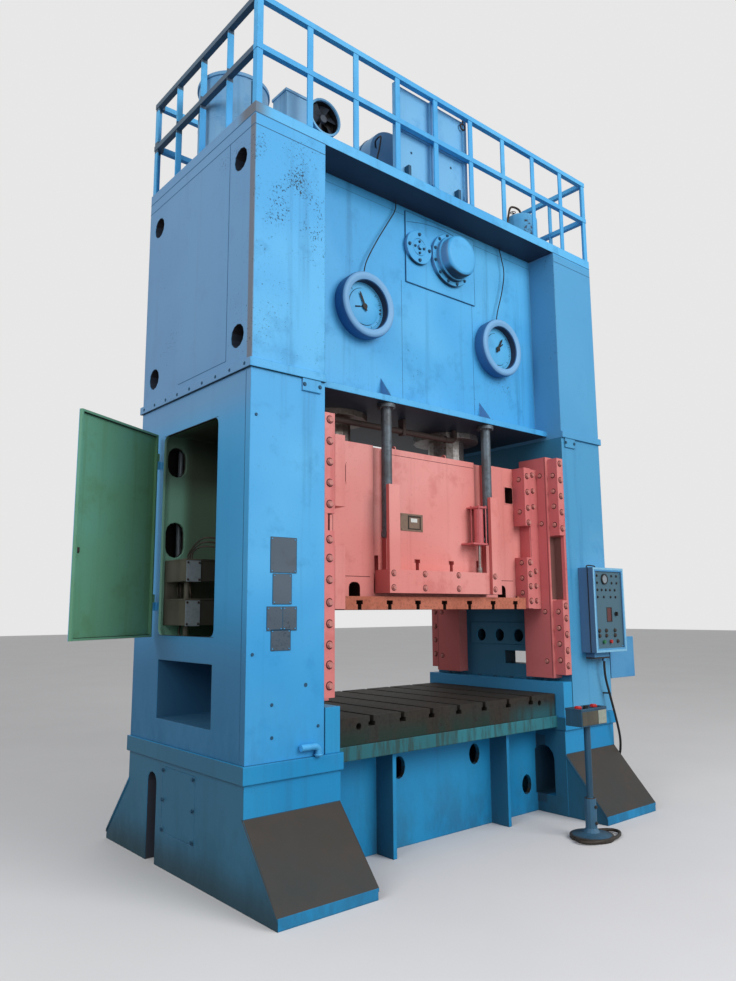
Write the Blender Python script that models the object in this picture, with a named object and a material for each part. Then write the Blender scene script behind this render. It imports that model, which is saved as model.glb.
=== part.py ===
"""A large straight-side hydraulic press, about 4 m wide and 6.2 m high.

The frame stands on the floor at z = 0, its front faces -Y and its middle is at x = y = 0.
Two cylinders in the crown push the ram down between four box guides on the uprights.
"""
import math

import bmesh
import bpy
from mathutils import Matrix, Vector

# Fits
GAP = 0.0003            # faces that seat or slide on each other
TURN_GAP = 0.0006       # small pins in the bores that they turn in
SKIN_GAP = 0.0015       # covers and loose pins in their openings
OVERCUT = 0.02          # how far a cutting tool stands out of the face that it cuts
SINK = 0.01             # how far a part that is welded on reaches into its carrier
WELD = 0.001            # the same between thin parts

# Frame, overall
HALF_WIDTH = 2.00       # outer faces of the uprights, in x
HALF_DEPTH = 0.836      # front and rear faces of the uprights, in y
UPRIGHT_WIDTH = 0.61
BED_SEAT = 0.83         # the uprights stand here
UPRIGHT_HEIGHT, CROWN_HEIGHT = 2.54, 1.845
UPRIGHT_TOP = BED_SEAT + UPRIGHT_HEIGHT
CROWN_TOP = UPRIGHT_TOP + CROWN_HEIGHT
DECK_THICKNESS = 0.085
DECK_TOP = CROWN_TOP + DECK_THICKNESS
BAND_PROUD = 0.018      # flange bands stand out this far
INNER = HALF_WIDTH - UPRIGHT_WIDTH

# Bed
CORNER_INNER = INNER - 0.14
FLANGE_HEIGHT = 0.11
FLANGE_INSIDE = 0.012   # the flange's lip towards the middle
FOOT_REACH = 0.384      # toe of each foot in front of the frame
FOOT_HEIGHT = BED_SEAT - 0.31
TOE_HEIGHT = 0.07
FOOT_PLATE = 0.022
FOOT_PLATE_PROUD = 0.006
FOOT_SIDE_STEP = 0.005
BED_WALL_Y = HALF_DEPTH - 0.321
BED_WALL = 0.04
BED_FLOOR = 0.05
BED_PLATE_HALF_DEPTH = HALF_DEPTH - 0.076
BED_PLATE_TOP = BED_SEAT + 0.01
BED_PLATE_BOTTOM = BED_PLATE_TOP - 0.097
RIB_X = (-0.66, 0.62)   # left faces of the two ribs
RIB_THICKNESS = 0.035
RIB_REACH = BED_PLATE_HALF_DEPTH - 0.06
PORTHOLES = ((-0.43, 0.58), (0.425, 0.58), (CORNER_INNER - 0.15, 0.24))
PORTHOLE_HALF = (0.065, 0.085)
ARCH_Y, ARCH_WIDTH, ARCH_TOP, ARCH_DEPTH = HALF_DEPTH - 0.406, 0.148, BED_SEAT - 0.21, 0.30
POCKET_Y = (HALF_DEPTH - 0.356, HALF_DEPTH - 0.126)
POCKET_Z, POCKET_DEPTH = (0.15, BED_SEAT - 0.255), 0.30
PANEL_Y, PANEL_Z = (ARCH_Y - 0.655, ARCH_Y - 0.17), (0.24, BED_SEAT - 0.15)
PANEL_THICKNESS = 0.010

# Bolster and the key blocks beside it
BOLSTER_HALF_WIDTH = CORNER_INNER - 0.01
BOLSTER_HALF_DEPTH = BED_PLATE_HALF_DEPTH - 0.01
BOLSTER_TOP = BED_PLATE_TOP + 0.19
LIFT_HOLE_X, LIFT_HOLE_Z = BOLSTER_HALF_WIDTH - 0.22, BOLSTER_TOP - 0.065
LIFT_HOLE_RADIUS, LIFT_HOLE_DEPTH = 0.024, 0.12
KEY_INNER, KEY_OUTER, KEY_TOP = CORNER_INNER + 0.005, INNER - 0.01, BED_SEAT + 0.30

# Cabinet, niche and inner openings of the uprights
CABINET_Y, CABINET_Z = HALF_DEPTH - 0.386, (BED_SEAT + 0.75, UPRIGHT_TOP - 0.24)
CABINET_DEPTH = UPRIGHT_WIDTH - 0.08
CABINET_WALL = 0.022
DOORWAY_Y, DOORWAY_Z = CABINET_Y - 0.03, (CABINET_Z[0] + 0.02, CABINET_Z[1] - 0.02)
DOORWAY_RADIUS = 0.05
DUCT_X = (-HALF_WIDTH + 0.03, -HALF_WIDTH + 0.28)
DUCT_Y, DUCT_Z = (CABINET_Y + 0.05, CABINET_Y + 0.25), (CABINET_Z[0] + 0.14, CABINET_Z[1] - 0.07)
DUCT_HOLE_X, DUCT_HOLE_FLAT = (DUCT_X[0] + 0.02, DUCT_X[0] + 0.18), 0.001
DUCT_HOLES = ((CABINET_Z[0] + 0.60, CABINET_Z[0] + 0.875), (CABINET_Z[1] - 0.32, CABINET_Z[1] - 0.08))
NICHE_Y, NICHE_Z = (-CABINET_Y + 0.04, CABINET_Y - 0.05), (BED_SEAT + 0.17, BED_SEAT + 0.59)
NICHE_DEPTH = UPRIGHT_WIDTH - 0.16
WINDOW_Y, WINDOW_Z = (NICHE_Y[0] + 0.005, NICHE_Y[0] + 0.34), (NICHE_Z[0] + 0.26, NICHE_Z[1] - 0.04)
SHAFT_PAD_Y, SHAFT_PAD_Z = (NICHE_Y[0] + 0.01, NICHE_Y[1] - 0.04), (NICHE_Z[1] + 0.02, NICHE_Z[1] + 0.23)
SHAFT_PAD_PROUD = 0.010
SHAFT_PAD_WIDTH = SHAFT_PAD_Y[1] - SHAFT_PAD_Y[0]
SHAFT_HOLES = [SHAFT_PAD_Y[0] + share * SHAFT_PAD_WIDTH for share in (0.197, 0.507, 0.816)]
SHAFT_HOLE_Z, SHAFT_HOLE_RADIUS, SHAFT_HOLE_DEPTH = SHAFT_PAD_Z[0] + 0.085, 0.079 * SHAFT_PAD_WIDTH, 0.15
TAB_X, TAB_DROP, TAB_PROUD = (INNER + 0.043, INNER + 0.199), 0.09, 0.012

# Ram
RAM_HALF_WIDTH = INNER - 0.25
RAM_HALF_DEPTH = HALF_DEPTH - 0.331
RAM_TOP = UPRIGHT_TOP - 0.30
RAM_PLATE_TOP = RAM_TOP - 1.195
RAM_PLATE_BOTTOM = RAM_PLATE_TOP - 0.10
RAM_PLATE_HALF_WIDTH, RAM_PLATE_HALF_DEPTH = RAM_HALF_WIDTH - 0.091, RAM_HALF_DEPTH + 0.115
RAM_WINDOW_X, RAM_WINDOW_Z = (RAM_HALF_WIDTH - 0.20, RAM_HALF_WIDTH - 0.09), (RAM_TOP - 0.33, RAM_TOP - 0.18)
RAM_WINDOW_DEPTH = 0.22
RAM_WINDOW_RADIUS = 0.015
RAM_ARCH_X = (0.75 * RAM_HALF_WIDTH - 0.055, 0.75 * RAM_HALF_WIDTH + 0.055)
RAM_ARCH_TOP, RAM_ARCH_DEPTH, RAM_ARCH_RADIUS = RAM_PLATE_TOP + 0.11, 0.16, 0.04

# T-slots in the bolster and the ram plate
SLOT_PITCH = 0.30
SLOT_MARGIN = 0.10      # at least this much plate outside the last slot's middle
SLOT_COUNT = int(2.0 * (RAM_PLATE_HALF_WIDTH - SLOT_MARGIN) / SLOT_PITCH) + 1
SLOT_THROAT, SLOT_THROAT_DEPTH = 0.036, 0.040
SLOT_HEAD, SLOT_HEAD_DEPTH = 0.062, 0.030

# Apron bolted to the front of the ram
APRON_Y, APRON_PLATE = RAM_HALF_DEPTH + 0.175, 0.032
APRON_X, APRON_WIDTH = 0.5193 * RAM_HALF_WIDTH, 0.115
APRON_BOTTOM = RAM_PLATE_TOP + 0.025
APRON_BAR_TOP, APRON_TOP = APRON_BOTTOM + 0.18, APRON_BOTTOM + 0.84
APRON_BAR_END = APRON_X - 0.137

# Channels, slots and notches in the ram's faces
ROD_CHANNEL_X, ROD_CHANNEL_DEPTH = (APRON_X - 0.065, APRON_X + 0.068), 0.05
KNOCK_SLOT_X, KNOCK_SLOT_Z = (APRON_X - 0.022, APRON_X + 0.018), (APRON_BAR_TOP, APRON_BAR_TOP + 0.12)
KNOCK_SLOT_DEPTH = 0.16
NOTCH_X = (-0.1667 * RAM_HALF_WIDTH, 0.1842 * RAM_HALF_WIDTH)
NOTCH_TOP, NOTCH_DEPTH = APRON_BAR_TOP + 0.10, 0.05
GAUGE_CENTRE, GAUGE_HALF, GAUGE_RECESS = -0.2895 * RAM_HALF_WIDTH, 0.10, 0.02
GAUGE_Z = (RAM_TOP - 0.66, RAM_TOP - 0.54)

# Crown
RECESS_Y = HALF_DEPTH - 0.296
CROWN_BAND = 0.06
LEDGE_REACH, LEDGE_Z = RECESS_Y + 0.135, (UPRIGHT_TOP + 0.03, UPRIGHT_TOP + 0.08)
GUSSET_X = APRON_X + 0.003
GUSSET_HEIGHT, GUSSET_DEPTH, GUSSET_THICKNESS = 0.18, 0.13, 0.016
CROWN_HOLE_Y, CROWN_HOLE_Z = HALF_DEPTH - 0.186, (UPRIGHT_TOP + 0.26, CROWN_TOP - 0.275)
CROWN_HOLE_RADIUS, CROWN_HOLE_DEPTH = 0.085, 0.25
CENTRE_PLATE_X, CENTRE_PLATE_Z = (-0.31, 0.55), (CROWN_TOP - 0.675, CROWN_TOP - 0.035)
CENTRE_PLATE_THICKNESS = 0.012

# Drive cylinders, hidden in the crown
CYLINDER_X = RAM_HALF_WIDTH - 0.44
BARREL_RADIUS, BARREL_TOP = 0.25, UPRIGHT_TOP + 1.23
BARREL_FLANGE_RADIUS, BARREL_FLANGE = BARREL_RADIUS + 0.06, 0.05
PLUNGER_RADIUS, PLUNGER_TOP = BARREL_RADIUS - 0.08, UPRIGHT_TOP + 0.93
PLUNGER_FOOT_RADIUS, PLUNGER_FOOT = PLUNGER_RADIUS + 0.07, 0.06

# Slide shoes on the ram, guide bars and gibs on the uprights
LINER_OUTER, LINER_Y = INNER - 0.12, (RAM_HALF_DEPTH - 0.105, RAM_HALF_DEPTH + 0.115)
SHOE_INNER, SHOE_Y = RAM_HALF_WIDTH - 0.085, RAM_HALF_DEPTH + 0.14
SHOE_HIGH = (RAM_TOP - 0.54, RAM_TOP)
SHOE_LOW = (RAM_PLATE_BOTTOM + 0.005, RAM_PLATE_BOTTOM + 0.465)
GUIDE_Y, GUIDE_Z = (RAM_HALF_DEPTH - 0.085, RAM_HALF_DEPTH + 0.225), (KEY_TOP + 0.03, UPRIGHT_TOP - 0.19)
GIB_INNER, GIB_Y = INNER - 0.09, HALF_DEPTH - 0.001
GIB_HIGH, GIB_LOW_BOTTOM = (UPRIGHT_TOP - 0.93, UPRIGHT_TOP - 0.21), GUIDE_Z[0] + 0.03
GIB_LOW_TOP = {"left": GIB_HIGH[0] - 0.12, "right": GIB_HIGH[0] - 0.59}
GIB_STRIP = 0.028

# Stop rods that hang from the crown's ledge
ROD_X, ROD_Y = APRON_X + 0.0015, RAM_HALF_DEPTH + 0.089
ROD_RADIUS, ROD_BOTTOM = 0.042, APRON_BAR_TOP + 0.25
ROD_FLANGE_RADIUS, ROD_FLANGE, ROD_NUT_RADIUS, ROD_NUT = 0.074, 0.035, 0.050, 0.05

# Air cylinder on the front of the ram
AIR_X, AIR_Y, AIR_RADIUS = APRON_X - 0.122, RAM_HALF_DEPTH + 0.09, 0.040
AIR_BODY_Z = (APRON_BAR_TOP + 0.24, APRON_BAR_TOP + 0.58)
AIR_CAP_RADIUS, AIR_CAP, AIR_ROD_RADIUS = 0.050, 0.022, 0.011
AIR_ROD_TOP, AIR_FOOT_RADIUS, AIR_FOOT = APRON_BAR_TOP + 0.48, 0.022, 0.05
AIR_LUG_HALF, AIR_BRACKET_LEFT, AIR_BRACKET_FRONT = 0.045, 0.13, 0.02
AIR_LUG, AIR_LUG_INSET = 0.013, 0.004

# Dials, covers and cables on the crown's front
DIAL_X, DIAL_Z = INNER - 0.58, UPRIGHT_TOP + 0.80
DIAL_RADIUS, DIAL_OPENING, DIAL_DEPTH = 0.27, 0.20, 0.12
DIAL_FACE_DEPTH = 0.04
DIAL_TAPER, DIAL_EDGE, DIAL_CHAMFER, DIAL_LIP = 0.008, 0.03, 0.025, 0.012
DIAL_PIN_RADIUS, DIAL_PIN_REACH = 0.010, 0.014
DIAL_CABLE_END, DIAL_CABLE_RADIUS = 0.2671, 0.005
DIAL_CABLE_TOP = {"left": CENTRE_PLATE_X[0] - 0.13, "right": DIAL_X + 0.095}
POINTER_LENGTH, POINTER_TAIL, POINTER_WIDTH, POINTER_THICKNESS = 0.125, 0.04, 0.016, 0.006
POINTER_HUB, POINTER_TIP = 0.024, 0.02
POINTER_REST = {"left": 115.0, "right": 60.0}
DOME_CENTRE = (0.222, CROWN_TOP - 0.342)
DOME_RADIUS, DOME_REACH, DOME_ROUND = 0.185, 0.17, 0.035
DOME_FLANGE_RADIUS, DOME_FLANGE, DOME_COLLAR_RADIUS, DOME_COLLAR = 0.24, 0.035, 0.20, 0.04
PORT_CENTRE, PORT_RADIUS = (-0.178, CROWN_TOP - 0.342), 0.15
PORT_THICKNESS, PORT_BOSS, PORT_BOSS_HEIGHT = 0.03, 0.022, 0.02

# Deck and what stands on it
RAIL_TOP, RAIL_MIDDLE, RAIL_SIZE, RAIL_INSET = DECK_TOP + 0.87, DECK_TOP + 0.47, 0.045, 0.004
POSTS_FRONT, POSTS_SIDE, POST_LEG, POST_WALL = 10, 5, 0.05, 0.012
POST_INSET = RAIL_INSET + 0.004
GATE_X, GATE_Z = (-0.62, 0.25), (DECK_TOP + 0.06, DECK_TOP + 0.84)
GATE_Y, GATE_THICKNESS = -HALF_DEPTH + 0.086, 0.012
GATE_FRAME, GATE_RIM = 0.04, 0.022
GATE_PIN_RADIUS, GATE_PIN_DEPTH = 0.012, 0.03
TANK_RADIUS = 0.285
TANK_CENTRE = (-HALF_WIDTH + TANK_RADIUS + 0.075, 0.10)
TANK_TOP, TANK_RIM, TANK_RIM_HEIGHT, TANK_LID = DECK_TOP + 0.73, 0.012, 0.02, 0.03
RECEIVER_CENTRE, RECEIVER_RADIUS = (HALF_WIDTH - 0.40, -0.30), 0.17
RECEIVER_TOP, RECEIVER_DOME = DECK_TOP + 0.58, 0.06
HEADER_X, HEADER_Y, HEADER_TOP, HEADER_RADIUS = (-0.62, 0.32), (-0.45, 0.35), DECK_TOP + 0.63, 0.26
COWL_CENTRE, COWL_RADIUS, COWL_WALL = (-HALF_WIDTH + 0.74, DECK_TOP + 0.287), 0.15, 0.018
COWL_Y, COWL_DEPTH = (-HALF_DEPTH + 0.176, -HALF_DEPTH + 0.376), 0.07
MOTOR_RADIUS, MOTOR_LENGTH, MOTOR_FOOT_HALF, MOTOR_FOOT_INSET = 0.10, 0.26, 0.09, 0.04
DECK_BOX_X = (-HALF_WIDTH + 0.36, -HALF_WIDTH + 0.58)
DECK_BOX_Y, DECK_BOX_TOP = (-HALF_DEPTH + 0.156, -HALF_DEPTH + 0.336), DECK_TOP + 0.35

# Cabinet door, its latch and what the cabinet holds
HINGE_X, HINGE_Y = -HALF_WIDTH - 0.032, CABINET_Y + 0.007
HINGE_RADIUS, PIN_RADIUS, KNUCKLE = 0.014, 0.006, 0.06
HINGE_LEAF = 0.006
DOOR_WIDTH, DOOR_Z = 2.0 * CABINET_Y - 0.03, (CABINET_Z[0] + 0.005, CABINET_Z[1] - 0.005)
DOOR_THICKNESS, DOOR_SKIN, DOOR_RIM, DOOR_EDGE_GAP = 0.026, 0.006, 0.016, 0.004
HINGE_HEIGHTS = (DOOR_Z[0] + 0.195, DOOR_Z[1] - 0.265)
DOOR_OPEN_DEG = 60.0
LATCH_INSET, LATCH_Z, LATCH_SHAFT = 0.045, DOOR_Z[0] + 0.585, 0.009
LATCH_HANDLE, LATCH_HANDLE_HALF, LATCH_PROUD = 0.11, 0.011, (0.012, 0.022)
LATCH_CAM, LATCH_CAM_TAIL, LATCH_CAM_HALF, LATCH_CAM_THICKNESS = 0.024, 0.012, 0.010, 0.006
LATCH_HANDLE_TOP, LATCH_END = 0.014, 0.002
CABINET_BACK = -HALF_WIDTH + CABINET_DEPTH
VALVE_X, VALVE_Y = (-HALF_WIDTH + 0.045, CABINET_BACK - 0.25), (CABINET_Y - 0.37, CABINET_Y - 0.03)
VALVE_LOW = (CABINET_Z[0] + 0.09, CABINET_Z[0] + 0.28)
VALVE_HIGH = (CABINET_Z[0] + 0.41, CABINET_Z[0] + 0.57)
VALVE_CAP_X, VALVE_PLATE_X = VALVE_X[1] + 0.06, (-HALF_WIDTH + 0.052, VALVE_X[1] + 0.18)
VALVE_CAP_INSET, VALVE_CAP_STEP = (0.02, 0.05), 0.012
VALVE_STEM, VALVE_STEM_INSET = 0.022, (0.06, 0.10)

# Control box, its door, its controls and its cable
BOX_X, BOX_Z = (INNER + 0.165, HALF_WIDTH + 0.05), (BED_SEAT + 0.55, BED_SEAT + 1.32)
BOX_DEPTH, BOX_WALL = 0.103, 0.012
LID_DEPTH, LID_RIM, LID_RECESS = 0.055, 0.035, 0.012
METER_X = (BOX_X[1] - 0.28, BOX_X[1] - 0.21)
METER_Z, METER_RECESS = (BOX_Z[1] - 0.49, BOX_Z[1] - 0.37), 0.006
BUTTON_X, BUTTON_Z = (BOX_X[0] + 0.135, BOX_X[0] + 0.245), BOX_Z[0] + 0.095
BUTTON_RADIUS, BUTTON_REACH, BUTTON_STEM, BUTTON_TRAVEL = 0.017, 0.014, 0.010, 0.006
BUTTON_CLEAR, BUTTON_STEM_DEPTH, BUTTON_BORE = 0.001, 0.015, 0.03
BUTTON_NODES = (("start_button", BUTTON_X[0]), ("stop_button", BUTTON_X[1]))
SELECTOR_X, SELECTOR_Z, SELECTOR_RADIUS = BOX_X[1] - 0.14, BOX_Z[1] - 0.425, 0.020
SELECTOR_SKIRT, SELECTOR_GRIP, SELECTOR_GRIP_HALF, SELECTOR_DEPTH = 0.008, 0.024, (0.006, 0.018), 0.02
SHELF_X, SHELF_DROP, SHELF_DEPTH = (HALF_WIDTH - 0.38, HALF_WIDTH - 0.14), 0.045, 0.09
CABLE_RADIUS = 0.011
GLAND_RADIUS, GLAND_LENGTH = 0.020, 0.040
CABLE_TOP = (HALF_WIDTH - 0.20, -HALF_DEPTH - 0.069)
CABLE_END = (-HALF_DEPTH + 0.216, 0.20)
SIDE_BOX_REACH, SIDE_BOX_Y = 0.45, (-HALF_DEPTH + 0.036, -HALF_DEPTH + 0.386)
SIDE_BOX_Z, SIDE_BOX_LIP, SIDE_BOX_COVER = (BED_SEAT + 0.30, BED_SEAT + 0.66), 0.012, 0.05

# Two-hand stand
STAND_CENTRE = (CORNER_INNER - 0.39, -HALF_DEPTH - 0.494)
STAND_FOOT_RADIUS, STAND_FOOT, STAND_FILLET = 0.17, 0.03, (0.02, 0.05)
STAND_SLEEVE_RADIUS, STAND_SLEEVE_TOP, STAND_POLE_RADIUS = 0.045, 0.30, 0.026
STAND_HEAD_HALF, STAND_HEAD_Z, STAND_HEAD_Y = 0.17, (0.86, 0.98), 0.075
PALM_RADIUS, PALM_HEIGHT, PALM_TRAVEL, PALM_OFFSET = 0.030, 0.022, 0.008, 0.105
PALM_STEM_DEPTH, PALM_ROUND = 0.018, 0.010

ROUND_MEDIUM, ROUND_COARSE, ROUND_SMALL, ROUND_TINY = 24, 16, 12, 8     # facets of round parts

SIDES = {"left": -1, "right": 1}
ENDS = {"front": -1, "rear": 1}


def remove_scene_objects():
    for item in list(bpy.data.objects):
        bpy.data.objects.remove(item, do_unlink=True)


def paint(name, colour, roughness, metallic=0.0):
    """Return a Principled material, made once for each name."""
    found = bpy.data.materials.get(name)
    if found:
        return found
    material = bpy.data.materials.new(name)
    material.use_nodes = True
    shader = material.node_tree.nodes["Principled BSDF"]
    shader.inputs["Base Color"].default_value = (*colour, 1.0)
    shader.inputs["Roughness"].default_value = roughness
    shader.inputs["Metallic"].default_value = metallic
    return material


FINISHES = {
    "blue": ((0.07, 0.34, 0.68), 0.45, 0.0),
    "salmon": ((0.72, 0.16, 0.15), 0.5, 0.0),
    "green": ((0.10, 0.22, 0.13), 0.55, 0.0),
    "steel": ((0.42, 0.40, 0.38), 0.38, 0.9),
    "rusty": ((0.20, 0.11, 0.07), 0.75, 0.4),
    "grey": ((0.35, 0.36, 0.36), 0.5, 0.0),
    "black": ((0.02, 0.02, 0.02), 0.5, 0.0),
    "red": ((0.60, 0.03, 0.03), 0.4, 0.0),
}


def finish(name):
    return paint("press_" + name, *FINISHES[name])


# Mesh builders: each returns a bmesh that holds one closed solid

def box_mesh(x, y, z):
    """Box between the pairs x, y and z, given in any order."""
    mesh = bmesh.new()
    bmesh.ops.create_cube(mesh, size=1.0)
    for vertex in mesh.verts:
        for axis, pair in enumerate((x, y, z)):
            vertex.co[axis] = max(pair) if vertex.co[axis] > 0 else min(pair)
    return mesh


def prism_mesh(outline, axis, start, end):
    """Extrude a 2-D outline along an axis; the outline gives the other two axes in order."""
    mesh = bmesh.new()
    others = [index for index in range(3) if index != axis]
    verts = []
    for point in outline:
        place = [0.0, 0.0, 0.0]
        place[others[0]], place[others[1]] = point
        place[axis] = start
        verts.append(mesh.verts.new(place))
    face = mesh.faces.new(verts)
    grown = bmesh.ops.extrude_face_region(mesh, geom=[face])
    moved = [item for item in grown["geom"] if isinstance(item, bmesh.types.BMVert)]
    shift = Vector((0.0, 0.0, 0.0))
    shift[axis] = end - start
    bmesh.ops.translate(mesh, vec=shift, verts=moved)
    bmesh.ops.recalc_face_normals(mesh, faces=mesh.faces)
    return mesh


def lathe_mesh(profile, segments, centre, axis=2):
    """Turn (radius, height) points about an axis through centre; the profile is closed."""
    mesh = bmesh.new()
    rings = []
    for radius, height in profile:
        if radius <= 0.0:
            rings.append([mesh.verts.new(turned(0.0, height, 0.0, axis))])
            continue
        rings.append([
            mesh.verts.new(turned(radius, height, 2.0 * math.pi * step / segments, axis))
            for step in range(segments)
        ])
    hollow = all(radius > 0.0 for radius, _ in profile)
    pairs = list(zip(rings, rings[1:] + rings[:1])) if hollow else list(zip(rings, rings[1:]))
    for low, high in pairs:
        for step in range(segments):
            following = (step + 1) % segments
            corners = [low[step % len(low)], low[following % len(low)],
                       high[following % len(high)], high[step % len(high)]]
            mesh.faces.new(list(dict.fromkeys(corners)))
    bmesh.ops.recalc_face_normals(mesh, faces=mesh.faces)
    bmesh.ops.translate(mesh, vec=Vector(centre), verts=mesh.verts)
    return mesh


def turned(radius, height, angle, axis):
    """Point at a radius, height and angle about the given axis."""
    across, along = radius * math.cos(angle), radius * math.sin(angle)
    if axis == 2:
        return (across, along, height)
    if axis == 1:
        return (across, height, along)
    return (height, across, along)


def cylinder_mesh(radius, centre, start, end, axis=2, segments=ROUND_COARSE):
    """Cylinder about an axis; centre gives the other two coordinates in order."""
    place = [0.0, 0.0, 0.0]
    others = [index for index in range(3) if index != axis]
    place[others[0]], place[others[1]] = centre
    profile = [(0.0, start), (radius, start), (radius, end), (0.0, end)]
    return lathe_mesh(profile, segments, place, axis)


def together(meshes):
    """One bmesh that holds the given separate solids."""
    whole = bmesh.new()
    for mesh in meshes:
        holder = bpy.data.meshes.new("holder")
        mesh.to_mesh(holder)
        mesh.free()
        whole.from_mesh(holder)
        bpy.data.meshes.remove(holder)
    return whole


def rounded_outline(low, high, radii, steps=3):
    """Rectangle outline with a radius for each corner, from the lower left, turning left."""
    centres = ((low[0], low[1], 180), (high[0], low[1], 270),
               (high[0], high[1], 0), (low[0], high[1], 90))
    points = []
    for (corner_x, corner_y, start), radius in zip(centres, radii):
        if radius <= 0.0:
            points.append((corner_x, corner_y))
            continue
        middle_x = corner_x + (radius if start in (90, 180) else -radius)
        middle_y = corner_y + (radius if start in (180, 270) else -radius)
        for step in range(steps + 1):
            angle = math.radians(start + 90.0 * step / steps)
            points.append((middle_x + radius * math.cos(angle), middle_y + radius * math.sin(angle)))
    return points


# Objects, cuts and joins

def piece(name, mesh, colour, smooth=False):
    """Turn a bmesh into the named object."""
    data = bpy.data.meshes.new(name)
    mesh.to_mesh(data)
    mesh.free()
    item = bpy.data.objects.new(name, data)
    bpy.context.scene.collection.objects.link(item)
    data.materials.append(finish(colour))
    if smooth:
        data.shade_smooth()
        data.set_sharp_from_angle(angle=math.radians(35.0))
    return item


def boolean(item, mesh, operation):
    tool = piece(item.name + "_tool", mesh, "steel")
    tool.parent = item.parent
    tool.hide_render = True
    tool.display_type = "WIRE"
    modifier = item.modifiers.new(operation.title(), "BOOLEAN")
    modifier.operation = operation
    modifier.object = tool
    return item


def cut(item, *meshes):
    """Take separate solids out of a piece with one Boolean."""
    return boolean(item, together(meshes), "DIFFERENCE")


def fuse(item, *meshes):
    """Weld separate solids to a piece with one Boolean."""
    return boolean(item, together(meshes), "UNION")


def place_at(item, origin):
    """Move a piece's origin to a point on its joint axis, with its shape left where it is."""
    item.data.transform(Matrix.Translation(-Vector(origin)))
    item.location = origin


def mirrored(pair, sign):
    return (pair[0] * sign, pair[1] * sign)


def about(centre, half):
    return (centre - half, centre + half)


def slot_places():
    return [SLOT_PITCH * (index - (SLOT_COUNT - 1) / 2.0) for index in range(SLOT_COUNT)]


def slot_mesh(x, face, inward, reach):
    """T-slot along Y, open at the height `face` and cut in the direction `inward` of Z."""
    throat, head = SLOT_THROAT / 2.0, SLOT_HEAD / 2.0
    over = face - inward * OVERCUT
    shoulder = face + inward * SLOT_THROAT_DEPTH
    floor = shoulder + inward * SLOT_HEAD_DEPTH
    outline = [(x - throat, over), (x - throat, shoulder), (x - head, shoulder), (x - head, floor),
               (x + head, floor), (x + head, shoulder), (x + throat, shoulder), (x + throat, over)]
    return prism_mesh(outline, 1, -reach, reach)


# Bed

def foot_outline(front):
    """Side view of a foot as (y, z)."""
    root = front * (HALF_DEPTH - SINK)
    face = front * HALF_DEPTH
    toe = front * (HALF_DEPTH + FOOT_REACH)
    return [(root, 0.0), (toe, 0.0), (toe, TOE_HEIGHT), (face, FOOT_HEIGHT), (root, FOOT_HEIGHT)]


def foot_plate_outline(front):
    """Side view of the steel plate on a foot's slope."""
    face = front * (HALF_DEPTH - SINK)
    toe = front * (HALF_DEPTH + FOOT_REACH)
    low, high = TOE_HEIGHT - FOOT_PLATE, TOE_HEIGHT + GAP
    return [(face, FOOT_HEIGHT - FOOT_PLATE), (toe, low), (toe, high), (face, FOOT_HEIGHT + GAP)]


def arch_outline(centre, half_width, bottom, top, steps=6):
    points = [(centre - half_width, bottom), (centre + half_width, bottom)]
    spring = top - half_width
    for step in range(steps + 1):
        angle = math.pi * step / steps
        points.append((centre + half_width * math.cos(angle), spring + half_width * math.sin(angle)))
    return points


def oval_mesh(x, z, y_start, y_end):
    wide, tall = PORTHOLE_HALF
    turns = [2.0 * math.pi * step / ROUND_SMALL for step in range(ROUND_SMALL)]
    outline = [(x + wide * math.cos(turn), z + tall * math.sin(turn)) for turn in turns]
    return prism_mesh(outline, 1, y_start, y_end)


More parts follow.
